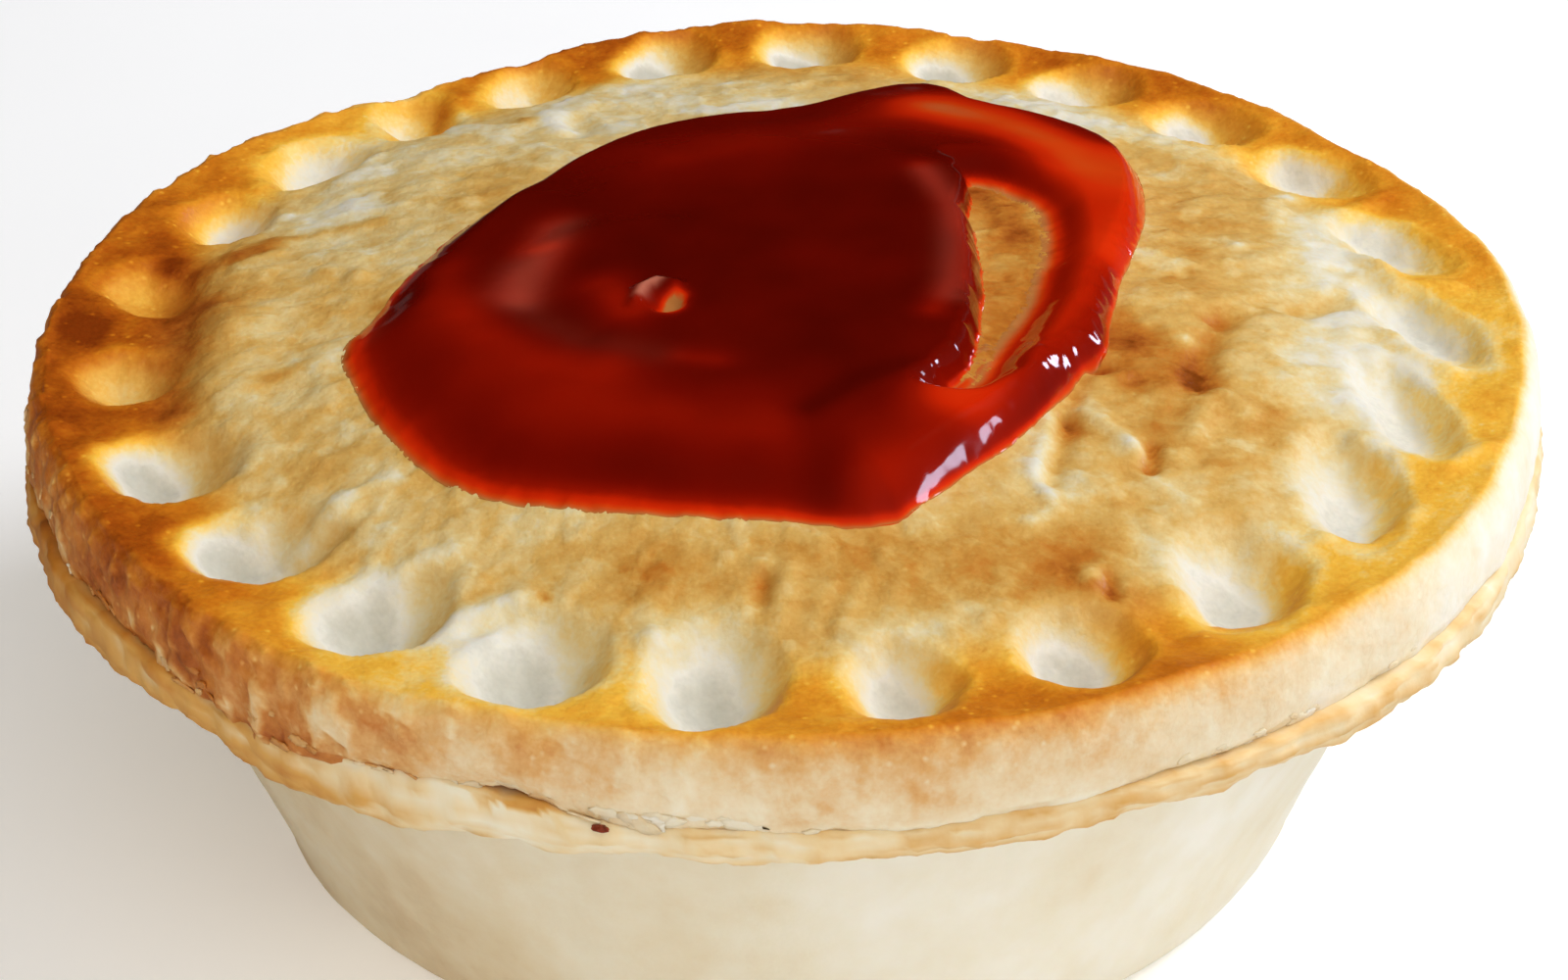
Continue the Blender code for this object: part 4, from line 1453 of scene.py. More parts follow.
@dataclass(frozen=True)
class PastryCase:
    """The pale tapered case with its thin flange, filled solid."""

    columns: int = 720
    base_radius: float = 40.1
    base_rounding: float = 2.2
    top_radius: float = 49.9
    fillet: float = 1.4
    flange_underside: float = 29.0
    flange_radius: float = 56.0
    lip_waves: Grain = Grain(0.5, 7.0, 35)
    lip_teeth: Grain = Grain(0.3, 2.2, 36)
    under_lumps: Grain = Grain(0.7, 8.0, 37)
    # The lip's edge: how far it rounds out, to which angle up and down, in how many
    # rings; and where the weld's rise is full, and its share inside the lip.
    lip_out: float = 0.9
    lip_angle: float = 80.0
    lip_rings: int = 13
    lip_power: float = 0.7
    weld_angle: float = 100.0
    weld_inside: float = 0.8
    inner_radii: tuple[float, ...] = (1.0, 25.0, 46.0, 51.0)
    weld_radius: float = 53.0
    under_radius: float = 54.6
    under_rings: int = 9
    base_radii: tuple[float, ...] = (37.0, 34.0, 28.0, 16.0, 2.0)
    fillet_angles: tuple[float, ...] = (30.0, 60.0, 90.0)
    foot_angles: tuple[float, ...] = (20.0, 40.0, 60.0, 80.0, 90.0)
    # Broad and small dents, thin layers, roughness, wide patches and fine spots.
    grains: tuple[Grain, ...] = (
        Grain(1.0, 16.0, 31, 2), Grain(1.0, 4.2, 32), Grain(1.0, 2.0, 33, 3, (0.5, 0.5, 4.6)),
        Grain(1.0, 1.3, 39), Grain(1.0, 12.0, 34, 3, (1.0, 1.0, 0.6)),
        Grain(1.0, 2.6, 38, 3, (1.0, 1.0, 0.7)),
    )
    # What each of the six adds to the side's relief, the flange's relief, the side's
    # browning and the flange's browning.
    grain_shares: tuple[tuple[float, ...], ...] = (
        (0.3, 0.1, 0.0, 0.0, 0.0, 0.0), (0.16, 0.16, 0.36, 0.24, 0.0, 0.0),
        (0.0, 0.08, 0.0, 0.0, 0.2, 0.06), (0.0, 0.0, 0.3, 0.16, 0.16, 0.12),
    )
    # Where the flange begins, where the base ends, and what the lid hides.
    flange_from: tuple[float, float] = (52.0, 54.6)
    base_height: float = 2.0
    hidden_radius: float = 54.0
    hidden_height: float = 30.0
    thin_inset: float = 0.3
    thin_bearing: float = 200.0
    thin_spread: float = 40.0
    radius_waves: tuple = ((0.4, 3, 200), (0.25, 7, 60))
    underside_waves: tuple = ((0.3, 5, 20),)
    seam_top: float = 31.15
    body_rings: int = 64
    flange_bake: Table = by_bearing({
        0: 0.16, 30: 0.26, 90: 0.5, 150: 0.56, 180: 0.64, 200: 0.64, 220: 0.6, 236: 0.54,
        243: 0.36, 249: 0.16, 256: 0.12, 262: 0.14, 269: 0.26, 277: 0.36, 292: 0.34, 310: 0.3,
        330: 0.26,
    })
    # How brown the tapered side is, darker on the left away from the window: partly
    # browning and partly painted shade; and how much the flange is welded up to the lid.
    body_bake_and_shade: Table = by_bearing({
        0: 0.1, 90: 0.3, 180: 0.44, 225: 0.42, 242: 0.36, 250: 0.26, 262: 0.2, 280: 0.14,
        310: 0.12, 330: 0.12,
    })
    weld_rise: Table = by_bearing({
        0: 0.35, 90: 0.3, 180: 0.4, 200: 0.9, 214: 1.1, 222: 0.7, 228: 0.4, 235: 0.5, 240: 1.1,
        246: 1.5, 248.5: 1.3, 251: 0.95, 253.5: 0.95, 256: 0.6, 262: 0.35, 290: 0.35,
    })
    # How far the flange's underside is above its usual height: it is thin on the left
    # and hangs as a thick lip at the front left.
    underside_rise: Table = by_bearing({
        0: 0.0, 150: 0.3, 180: 0.5, 205: 0.3, 213: -0.2, 222: -0.2, 229: -1.3, 235: -1.8,
        240: -1.6, 244: -1.4, 248: -0.7, 251: -0.5, 254.5: -0.4, 259: 0.4, 267: 0.1, 280: 0.0,
    })
    # The brown inside of the slit in the seam, and the pale layers left of it.
    gape_bearing: float = 252.0
    gape_spread: float = 4.0
    gape_radius: float = 55.45
    gape_height: float = 30.8
    gape_bake: float = 0.5
    layers_bearing: float = 236.0
    layers_spread: float = 14.0
    layers_heights: tuple[float, float] = (29.2, 30.4)
    layers_paler: float = 0.2

    def build(self) -> tuple[bpy.types.Object, RingSurface]:
        """Builds the case and returns it with its surface."""
        surface = self.surface()
        return surface.build("case_crust", CASE_PASTRY.make()), surface

    def surface(self) -> RingSurface:
        """Rings from the middle of the seam out over the flange, down the taper, round
        the foot and in to the middle of the base. Each ring is a radius and a height
        for every bearing; relief then moves points along normals."""
        bearing = np.arange(self.columns) * 360.0 / self.columns
        circle = ring_places(self.flange_radius, bearing)
        lip = self.flange_radius + sum_of_waves(bearing, self.radius_waves)
        lip = lip + self.lip_waves.at(circle) + self.lip_teeth.at(circle)
        lip = lip - self.thin_inset * swell(bearing, self.thin_bearing, self.thin_spread)
        under = self.flange_underside + sum_of_waves(bearing, self.underside_waves)
        under = under + self.under_lumps.at(circle) + around(bearing, self.underside_rise)
        weld = around(bearing, self.weld_rise)
        rings = [(radius, self.seam_top) for radius in self.inner_radii]
        rings.append((self.weld_radius, self.seam_top + self.weld_inside * weld))
        rings += self.lip_ring_shapes(lip, under, weld)
        out, base, foot = self.top_radius + self.fillet, self.base_radius, self.base_rounding
        inwards = np.linspace(self.under_radius, out, self.under_rings)
        rings += [(radius, under) for radius in inwards]
        for angle in np.radians(self.fillet_angles):
            drop = self.fillet * (1 - math.cos(angle))
            rings.append((out - self.fillet * math.sin(angle), under - drop))
        for share in np.linspace(0.0, 1.0, self.body_rings)[1:]:
            height = between(under - self.fillet, foot, share)
            rings.append((between(self.top_radius, base, share), height))
        for angle in np.radians(self.foot_angles):
            rings.append((base - foot * (1 - math.cos(angle)), foot * (1 - math.sin(angle))))
        rings += [(radius, 0.0) for radius in self.base_radii]
        even = np.ones_like(bearing)
        radius, height = (np.array([ring[axis] * even for ring in rings]) for axis in (0, 1))
        surface = RingSurface(ring_places(radius, bearing, height))
        self.add_relief(surface, bearing)
        return surface

    def lip_ring_shapes(self, lip: Array, under: Array, weld: Array) -> list[tuple]:
        """Radii and heights of the rings round the flange's edge: a flattened half oval
        between the seam and the underside, with the weld's rise on its upper half."""
        middle, half = (self.seam_top + under) / 2.0, (self.seam_top - under) / 2.0
        most, flat = math.radians(self.lip_angle), math.radians(self.weld_angle)
        rings = []
        for angle in np.linspace(most, -most, self.lip_rings):
            rise = weld * max(0.0, math.sin(min(2.0 * angle, flat)))
            height = middle + half * math.sin(angle) / math.sin(most) + rise
            bulge = self.lip_out * (math.cos(angle) ** self.lip_power - 1.0)
            rings.append((lip + bulge, height))
        return rings

    def add_relief(self, surface: RingSurface, bearing: Array) -> None:
        """Raises soft dents, a ragged flange edge and works out the browning."""
        points = surface.points
        radius = np.hypot(points[..., 0], points[..., 1])
        z = points[..., 2]
        flange = smooth_step(*self.flange_from, radius)
        flat_base = 1.0 - smooth_step(0.0, self.base_height, z)
        hidden = (radius < self.hidden_radius) * (z > self.hidden_height)
        grains = [grain.at(points) for grain in self.grains]
        dents, tatters, body, edge = (
            sum(share * grain for share, grain in zip(shares, grains))
            for shares in self.grain_shares
        )
        relief = between(dents, tatters, flange)
        surface.raise_by(relief * (1.0 - flat_base) * (1.0 - hidden))
        bearings = bearing * np.ones_like(radius)
        # Browning with painted shade, most on the left.
        body = around(bearings, self.body_bake_and_shade) + body
        edge = around(bearings, self.flange_bake) + edge
        inside = (radius < self.gape_radius) * (z > self.gape_height)
        gape = swell(bearing, self.gape_bearing, self.gape_spread)
        layers = swell(bearing, self.layers_bearing, self.layers_spread)
        layers = layers * smooth_step(*self.layers_heights, z)
        edge = edge + self.gape_bake * inside * gape - self.layers_paler * layers
        surface.values["bake"] = between(body, edge, flange)
        surface.values["wall"] = 1.0 - flange
        surface.values["rim"] = flange


# -------------------------------------------------------------------------- the sauce


# Ropes, folds and lumps of sauce: rises over the pool.
SAUCE_ROPES: tuple[Mark, ...] = (
    # The rope down the left and round the front left.
    Mark(
        (
            (-20.8, 12.0), (-24.6, 6.6), (-26.4, 0.0), (-25.6, -7.1), (-22.8, -13.5),
            (-18.0, -18.7), (-12.0, -22.5), (-6.7, -25.1), (-2.3, -26.2),
        ),
        3.2,
        0.7,
    ),
    # The inner curl beside it.
    Mark(((-17.6, 6.4), (-19.6, 0.6), (-18.4, -6.0), (-14.0, -11.4)), 1.7, -0.4),
    Mark(((-12.0, -15.6), (-5.0, -18.6), (2.0, -18.2)), 2.2, 0.3),
    Mark(((-12.5, -7.0),), 2.2, 0.4),
    # The rope that comes round the right and ends in a tongue at the front.
    Mark(((6.0, -28.4), (8.6, -25.4), (12.6, -21.0), (16.4, -15.6)), 3.2, 0.9),
)
# The pip where the bottle was lifted: a hook of sauce round a hole.
SAUCE_PIP: tuple[Mark, ...] = (
    Mark(((-10.4, -8.2), (-10.2, -6.4), (-9.1, -5.3), (-7.7, -5.9)), 0.6, 0.6),
)
# How deep the sauce looks, beside its thickness: shifts from the pool's own depth.
# Some are painted light and shade, as said at each.
SAUCE_TINTS: tuple[Mark, ...] = (
    # The rope on the right and over the top: paler, painted light where the light from
    # the right shines into it.
    Mark(
        (
            (12.2, -21.2), (15.6, -15.6), (18.7, -10.8), (20.9, -5.5), (22.2, 0.0),
            (23.2, 6.1), (23.6, 13.5), (22.3, 20.1), (17.8, 25.4), (13.0, 28.6),
        ),
        3.4,
        0.0,
        -0.36,
    ),
    Mark(((24.0, 17.0), (20.0, 22.0), (13.0, 28.0)), 5.0, 0.0, -0.28),
    Mark(((-10.0, -27.0), (0.0, -28.0)), 4.0, 0.0, 0.06),
    Mark(((10.0, 26.0), (0.0, 20.0), (-8.0, 18.0)), 6.0, 0.0, -0.16),
    # Its right edge, facing the light: painted light.
    Mark(
        ((24.8, 2.0), (26.4, 8.0), (27.2, 14.0), (26.6, 20.0)),
        2.0,
        0.0,
        -0.26,
    ),
    # The lit inner side of the left rope, and the dark dip beyond it.
    Mark(
        ((-25.4, 1.0), (-24.6, -5.0), (-21.6, -10.0), (-17.0, -14.6), (-12.6, -16.6)),
        2.8,
        0.0,
        -0.18,
    ),
    Mark(
        ((-28.0, -8.0), (-24.0, -15.0), (-18.0, -20.5), (-10.0, -24.0), (0.0, -26.0)),
        4.6,
        0.0,
        -0.15,
    ),
    Mark(((-27.4, 2.0), (-28.0, -3.0)), 2.4, 0.0, 0.12),
    Mark(
        (
            (-31.6, -9.0), (-28.6, -16.0), (-23.4, -22.6), (-18.0, -27.4),
            (-12.4, -29.6), (-6.0, -30.8), (0.0, -31.0),
        ),
        2.4,
        0.0,
        -0.06,
    ),
    # Pale soft streaks where the surface dips on the left: painted reflection.
    Mark(((-16.6, 7.0), (-17.6, 3.4)), 1.8, 0.0, -0.2),
    Mark(((-17.6, 2.0), (-18.8, -4.8)), 2.2, 0.0, -0.26),
    Mark(((-13.0, -5.2), (-11.0, -8.6)), 2.2, 0.0, -0.22),
    # The thin film over the bubble, which shows the crust.
    Mark(((-7.7, -7.4), (-7.9, -8.6)), 0.8, 0.0, -1.4),
    # The dollop's right rim: a paler band of painted reflection.
    Mark(((10.7, 13.0), (12.6, 6.0), (13.2, 0.0), (12.6, -5.4), (10.6, -10.4)), 1.3, 0.0, -0.2),
    # The front.
    Mark(((-14.0, -20.0), (-6.0, -23.0), (2.0, -23.0)), 4.6, 0.0, -0.08),
    Mark(((-7.0, -15.4), (-4.6, -16.0)), 1.4, 0.0, -0.14),
    Mark(((6.0, -28.4), (8.6, -25.4), (12.6, -21.0)), 3.4, 0.0, -0.13),
    Mark(((10.0, -28.0), (5.6, -31.0)), 2.2, 0.0, -0.14),
    # Darker lines along the tongue's left and upper edges: painted shadow.
    Mark(((1.8, -22.5), (2.2, -26.0), (3.2, -30.0)), 2.0, 0.0, 0.08),
    Mark(((1.8, -22.5), (5.0, -19.8), (10.0, -17.6), (13.6, -13.6)), 1.2, 0.0, 0.08),
)

# Painted reflections: pale pink soft reflections on the left streaks and the dollop's
# right rim, a painted highlight on the pip's hook and a faint pinkish film at the left
# edge; shares of the reflection colour.
SAUCE_PAINTED_REFLECTIONS: tuple[Mark, ...] = (
    Mark(((-16.6, 6.0), (-18.1, 0.2), (-18.8, -6.0)), 1.5, 0.0, 0.16),
    Mark(((-19.0, 0.0), (-19.8, -4.6)), 1.7, 0.0, 0.08),
    Mark(((-17.6, -8.6), (-14.0, -12.4), (-9.0, -15.0)), 1.6, 0.0, 0.03),
    Mark(((11.0, 12.0), (12.8, 6.0), (12.4, -1.0), (12.0, -8.0)), 1.2, 0.0, 0.1),
    Mark(((-10.2, -7.4), (-9.8, -6.0), (-8.8, -5.3)), 0.42, 0.0, 0.85),
    Mark(((-28.6, 4.0), (-29.4, -2.0), (-29.8, -7.0)), 1.2, 0.0, 0.04),
)


@dataclass(frozen=True)
class SaucePool:
    """The pool of sauce: a rope squeezed round a middle dollop, with a bare window."""

    form: LidForm = LidForm()
    relief: TopRelief = TopRelief()
    columns: int = 540
    rings: int = 112
    innermost_share: float = 0.02
    edge_crowding: float = 1.35
    under_shares: tuple[float, ...] = (0.995, 0.85, 0.45, 0.03)
    bed: float = 0.9
    outline_step: float = 4.0
    # Thickness at which a third of the crust's relief still shows through.
    relief_depth: float = 0.5
    # How far the sauce reaches from the centre at each bearing.
    reach: Table = by_bearing({
        0: 25.0, 13: 27.4, 24: 30.5, 35: 34.2, 42: 36.4, 50: 37.2, 58: 36.6, 63: 36.4, 68: 38.6,
        73: 39.2, 78: 36.6, 83: 32.8, 90: 29.9, 97: 29.6, 105: 29.0, 115: 28.0, 127: 26.5,
        143: 24.9, 158: 25.8, 171: 27.2, 185: 29.7, 194: 32.7, 204: 33.1, 216: 34.0, 226: 34.8,
        235: 34.7, 244: 33.5, 253: 32.5, 262: 32.0, 271: 32.1, 278: 32.9, 284: 32.7, 288: 31.2,
        295: 29.3, 306: 27.6, 316: 26.1, 327: 25.2, 335: 25.4, 344: 24.6, 352: 24.6,
    })
    # Edge height, and the width over which the edge rounds up to it.
    edge_height: Table = by_bearing({
        0: 1.9, 40: 1.9, 75: 1.7, 90: 1.4, 130: 1.2, 160: 0.7, 175: 0.55, 195: 0.8, 235: 0.9,
        262: 0.9, 276: 1.3, 290: 1.9, 330: 1.9,
    })
    edge_width: Table = by_bearing({
        0: 2.2, 40: 1.9, 90: 1.4, 145: 1.6, 165: 3.2, 180: 4.2, 200: 5.2, 235: 5.4, 262: 4.4,
        280: 3.6, 300: 2.4, 330: 2.2,
    })
    # How far in from the edge the dollop reaches its height.
    dollop_run: Table = by_bearing({0: 9.0, 60: 18.0, 140: 18.0, 175: 9.0})
    window_path: tuple = (
        (14.7, 14.2), (15.7, 13.0), (16.6, 9.6), (16.9, 5.7), (16.8, 1.5), (16.5, -0.3),
        (16.1, -4.0), (15.4, -6.8), (14.3, -11.2), (13.1, -15.6), (11.7, -17.4),
    )
    window_radius: Table = by_bearing({
        0: 16.5, 5: 16.9, 19: 17.8, 30: 19.2, 39.5: 20.4, 46: 20.6, 180: 20.6, 304: 21.0,
        310: 20.4, 322: 18.2, 336: 16.8, 346: 16.6,
    })
    window_half_width: Table = by_bearing({
        0: 1.8, 5: 2.1, 19: 2.5, 30: 2.6, 39.5: 1.5, 45: 0.7, 52: 0.0, 180: 0.0, 296: 0.0,
        304: 0.1, 310: 0.25, 322: 0.5, 336: 1.15, 346: 1.45,
    })
    # How the sauce ends at the window, on the rope's side and on the dollop's side.
    rope_side_width: float = 4.2
    rope_side_power: float = 1.4
    dollop_side_width: float = 1.6
    window_blend: float = 0.7
    bare_width: float = 0.6
    ragged: Grain = Grain(0.3, 3.6, 44, 2)
    swells: Grain = Grain(0.14, 8.0, 41, 2)
    sink: float = 0.35
    dollop_height: float = 0.8
    dollop_from: float = 1.5
    middle_height: float = 1.1
    middle_edge: tuple[float, float] = (4.0, 20.0)
    rope_bearing: float = 358.0
    rope_spread: float = 48.0
    rope_blend: float = 3.0
    film_bearing: float = 318.0
    film_spread: float = 10.0
    film_height: float = 0.42
    hole_place: tuple[float, float] = (-8.2, -7.9)
    hole_radius: float = 1.15
    hole_depth: float = 0.6
    hole_edge: tuple[float, float] = (0.5, 1.5)
    beads: Grain = Grain(0.24, 1.3, 42, 2)
    # Where the beads show: distance from the edge, width, bearing and spread.
    edge_beads: tuple[float, ...] = (1.0, 1.3, 336.0, 44.0)
    window_beads: tuple[float, ...] = (0.8, 1.0, 324.0, 13.0)
    window_bead_share: float = 1.4
    clouds: Grain = Grain(0.05, 7.0, 43, 2)
    tone_depth: float = 0.36
    tone_power: float = 1.3
    pool_tone: float = 0.84

    def build(self) -> bpy.types.Object:
        """Builds the sauce."""
        return self.surface().build("sauce_pool", TomatoSauce().make())

    def surface(self) -> RingSurface:
        """Rings from the middle to the edge and back underneath.

        A ring is the outline shrunk by a share, and shares crowd towards the edge.
        The height is the crust's own plus the thickness, and the crust's relief fades
        out as the sauce gets thicker. The underside lies below the crust.
        """
        bearing = np.arange(self.columns) * 360.0 / self.columns
        even = np.linspace(self.innermost_share, 1.0, self.rings)[:, None]
        share = 1.0 - (1.0 - even) ** self.edge_crowding
        radius = around(bearing, self.reach) * share
        top, tone = self.sheet(radius, np.broadcast_to(bearing, radius.shape))
        low = radius[-1] * np.array(self.under_shares)[:, None]
        under, _ = self.sheet(low, np.broadcast_to(bearing, low.shape), -self.bed)
        surface = RingSurface(np.concatenate([top, under]))
        surface.values["tone"] = np.concatenate([tone, np.zeros_like(low)])
        _, painted_reflection = lay_marks(surface.points[..., 0], surface.points[..., 1], SAUCE_PAINTED_REFLECTIONS)
        surface.values["painted_reflection"] = np.clip(painted_reflection, 0.0, 1.0)
        return surface

    def sheet(
        self, radius: Array, bearing: Array, level: float | None = None
    ) -> tuple[Array, Array]:
        """Points of the sauce's top, or of a sheet at a level over the crust.

        Args:
            radius: Distances from the middle.
            bearing: Bearings.
            level: Height over the crust, or None for the sauce's own thickness.

        Returns:
            The points and how deep their colour looks.
        """
        turn = np.radians(bearing)
        x, y = radius * np.cos(turn), radius * np.sin(turn)
        crust = self.form.top(radius, bearing)
        relief, _ = self.relief.rise(x, y, np.zeros_like(x))
        bare = level is None
        wet = self.thickness(x, y, radius, bearing) if bare else np.full_like(x, level)
        fade = np.exp(-np.clip(wet, 0.0, None) / self.relief_depth)
        height = crust + relief * fade + wet
        return np.stack([x, y, height], -1), self.tone(x, y, wet)

    def outline(self) -> tuple[tuple[float, float], ...]:
        """The sauce's outline as a closed line through points at even bearings."""
        bearing = np.arange(0.0, 360.0 + self.outline_step, self.outline_step)
        reach, turn = around(bearing, self.reach), np.radians(bearing)
        return tuple(zip(reach * np.cos(turn), reach * np.sin(turn)))

    def window_side(self, x: Array, y: Array, radius: Array, bearing: Array) -> tuple:
        """Distance outside the bare window's edge, and 1 on the rope's side of it.

        The window is a band round its middle line, with a half width by bearing, and
        noise makes its inner edge ragged.
        """
        distance, _ = path_distance(x, y, self.window_path)
        past = radius - around(bearing, self.window_radius)
        outer = smooth_step(-self.window_blend, self.window_blend, past)
        ragged = self.ragged.at(flat_places(x, y))
        width = np.maximum(around(bearing, self.window_half_width), 0.0)
        return distance - width + ragged * (1.0 - outer), outer

    def thickness(self, x: Array, y: Array, radius: Array, bearing: Array) -> Array:
        """Thickness of the sauce over the crust, negative where the crust is bare.

        The edge rises as 1 - (1 - d / w)^2, d the distance in from the outline. The
        dollop adds to it inside the window. The window cuts through with a slow slope
        on the rope's side and a steep one on the dollop's side. Ropes and beads are
        added, and a small bubble by the pip sinks in.
        """
        inset, _ = path_distance(x, y, self.outline())
        rise = np.clip(inset / around(bearing, self.edge_width), 0.0, 1.0)
        rise = 1.0 - (1.0 - rise) ** 2
        beyond, outer = self.window_side(x, y, radius, bearing)
        past = radius - around(bearing, self.window_radius)
        rope = smooth_step(-self.rope_blend, self.rope_blend, past)
        rope = rope * swell(bearing, self.rope_bearing, self.rope_spread)
        inside = smooth_step(self.dollop_from, around(bearing, self.dollop_run), inset)
        inside = inside * (1.0 - rope)
        edge = around(bearing, self.edge_height)
        edge = between(self.middle_height, edge, smooth_step(*self.middle_edge, radius))
        thick = edge * rise + self.dollop_height * inside
        ropes, _ = lay_marks(x, y, SAUCE_ROPES)
        thick = thick + ropes * rise
        places = flat_places(x, y)
        thick = thick + self.swells.at(places) * rise

        rope_lip = smooth_step(0.0, self.rope_side_width, beyond) ** self.rope_side_power
        rounding = np.clip(beyond / self.dollop_side_width, 0.0, 1.0)
        dollop_lip = 1.0 - (1.0 - rounding) ** 2
        film = self.film_height * swell(bearing, self.film_bearing, self.film_spread)
        wet = thick * between(dollop_lip, rope_lip, outer)
        bare = np.clip(-beyond / self.bare_width, 0.0, 1.0)
        wet = wet - (self.sink - film) * bare

        by_edge = self.bead_band(inset, bearing, *self.edge_beads)
        by_window = self.bead_band(beyond, bearing, *self.window_beads) * (1.0 - outer)
        wet = wet + self.beads.at(places) * (by_edge + self.window_bead_share * by_window)
        pip, _ = lay_marks(x, y, SAUCE_PIP)
        hole = np.hypot(x - self.hole_place[0], y - self.hole_place[1])
        hole = 1.0 - smooth_step(*self.hole_edge, hole / self.hole_radius)
        return wet + pip - self.hole_depth * hole

    def bead_band(
        self, distance: Array, bearing: Array, middle: float, width: float, at: float, spread: float
    ) -> Array:
        """Share of the beads: most at a distance from an edge and at a bearing."""
        return np.exp(-(((distance - middle) / width) ** 2)) * swell(bearing, at, spread)

    def tone(self, x: Array, y: Array, wet: Array) -> Array:
        """How deep the colour looks, from 0 bare crust to 1 darkest: it grows with the
        thickness as 1 - e^(-(wet / depth)^power) up to the pool's own tone and its
        tints."""
        _, tint = lay_marks(x, y, SAUCE_TINTS)
        own = self.pool_tone + tint + self.clouds.at(flat_places(x, y))
        depth = np.clip(wet, 0.0, None) / self.tone_depth
        deep = 1.0 - np.exp(-(depth**self.tone_power))
        return np.clip(deep * own, 0.0, 1.0)


# ------------------------------------------------------------- the flakes and the drop


@dataclass(frozen=True)
class FlakePatch:
    """Where flakes lie on the wall, how many and how big."""

    count: int
    bearing: float
    spread: float
    low_height: float
    high_height: float
    length: float
    bake_shift: float = 0.0


@dataclass(frozen=True)
class PastryFlakes:
    """Thin flakes of pastry that lie almost flush on the wall, most at the seam."""

    seed: int = 11
    # A flake is a small grid: points along by points across.
    along: int = 6
    across: int = 4
    thickness: float = 0.14
    # The wall's last rings carry no flakes.
    bare_rings: int = 6
    # Least and most of a flake's size, and how much chance changes its browning.
    sizes: tuple[float, float] = (0.4, 1.3)
    bake_chance: float = 0.08
    tilt: float = 0.2
    jag: float = 0.3
    half_length: float = 0.5
    half_breadth: float = 0.24
    clearance: float = 0.05
    curl: float = 0.05
    wall_radius: float = 55.0
    patches: tuple[FlakePatch, ...] = (
        FlakePatch(26, 222.0, 24.0, 31.2, 33.6, 1.5, -0.12),
        FlakePatch(16, 248.0, 10.0, 31.2, 32.4, 1.6, -0.08),
        FlakePatch(18, 262.0, 9.0, 31.2, 32.4, 2.2, -0.05),
        FlakePatch(18, 305.0, 18.0, 31.2, 32.4, 1.2, 0.05),
        FlakePatch(26, 80.0, 90.0, 31.2, 33.0, 1.3, -0.1),
        FlakePatch(14, 195.0, 20.0, 32.4, 36.0, 1.2, -0.2),
    )

    def build(self, lid: RingSurface) -> bpy.types.Object:
        """Builds all flakes as one mesh on the lid's surface.

        Each flake is a plate, u along and v across, its outline a square squeezed
        towards an oval and pulled about by chance, following the wall's curve.

        Args:
            lid: The lid's finished surface.

        Returns:
            The object.
        """
        chance = np.random.default_rng(self.seed)
        normals = lid.normals()
        columns = lid.points.shape[1]
        rows = np.nonzero(lid.values["wall"][:, 0] > 0.5)[0][: -self.bare_rings]
        corners, faces, bakes = [], [], []
        for patch in self.patches:
            for _ in range(patch.count):
                turn = chance.normal(patch.bearing, patch.spread / 2)
                column = int(turn % 360.0 / 360.0 * columns) % columns
                height = chance.uniform(patch.low_height, patch.high_height)
                row = rows[np.argmin(np.abs(lid.points[rows, column, 2] - height))]
                size = patch.length * chance.uniform(*self.sizes)
                points = self.plate(chance, lid.points[row, column], normals[row, column], size)
                start = len(corners) * points.shape[0]
                corners.append(points)
                faces += [tuple(np.array(face) + start) for face in self.plate_faces()]
                level = lid.values["bake"][row, column] + patch.bake_shift
                level += chance.uniform(-self.bake_chance, self.bake_chance)
                bakes.append(np.full(points.shape[0], max(level, 0.0)))
        values = {"bake": np.concatenate(bakes)}
        values["wall"] = np.ones_like(values["bake"])
        values["rim"] = np.zeros_like(values["bake"])
        points = np.vstack(corners) * METRES
        material = bpy.data.materials[LID_PASTRY.name]
        return mesh_object("pastry_flakes", points, faces, values, material)

    def plate(
        self, chance: np.random.Generator, spot: Array, normal: Array, size: float
    ) -> Array:
        """Points of one flake, its outer side first and then its inner side."""
        flat = np.array((-normal[1], normal[0], 0.0))
        flat = flat / max(np.linalg.norm(flat), 1e-6)
        steep = np.cross(normal, flat)
        tilt = chance.normal(0.0, self.tilt)
        long = flat * math.cos(tilt) + steep * math.sin(tilt)
        short = np.cross(normal, long)
        u, v = np.meshgrid(
            np.linspace(-1, 1, self.along), np.linspace(-1, 1, self.across)
        )
        round_u = u * np.sqrt(1.0 - 0.5 * v**2)
        round_v = v * np.sqrt(1.0 - 0.5 * u**2)
        jag = 1.0 + chance.uniform(-self.jag, self.jag, u.shape)
        # The plate bends with the wall: it falls back by half its length squared over
        # the wall's radius, and one end lifts a little.
        along = round_u * size * self.half_length
        lift = self.clearance + self.curl * size * (u * 0.5 + 0.5) ** 2
        lift = lift - along**2 / (2 * self.wall_radius)
        outer = (
            spot
            + (along * jag)[..., None] * long
            + (round_v * jag * size * self.half_breadth)[..., None] * short
            + lift[..., None] * normal
        )
        inner = outer - self.thickness * normal
        return np.vstack([outer.reshape(-1, 3), inner.reshape(-1, 3)])

    def plate_faces(self) -> list[tuple[int, ...]]:
        """Faces of one flake: both sides and the rim between them."""
        index = np.arange(self.along * self.across).reshape(self.across, self.along)
        back = index.size
        faces = []
        for i, j in product(range(self.across - 1), range(self.along - 1)):
            a, b = index[i, j], index[i, j + 1]
            c, d = index[i + 1, j + 1], index[i + 1, j]
            faces.append((a, b, c, d))
            faces.append((back + a, back + d, back + c, back + b))
        rim = [*index[0, :], *index[1:, -1], *index[-1, -2::-1], *index[-2:0:-1, 0]]
        for a, b in zip(rim, rim[1:] + rim[:1]):
            faces.append((a, back + a, back + b, b))
        return faces


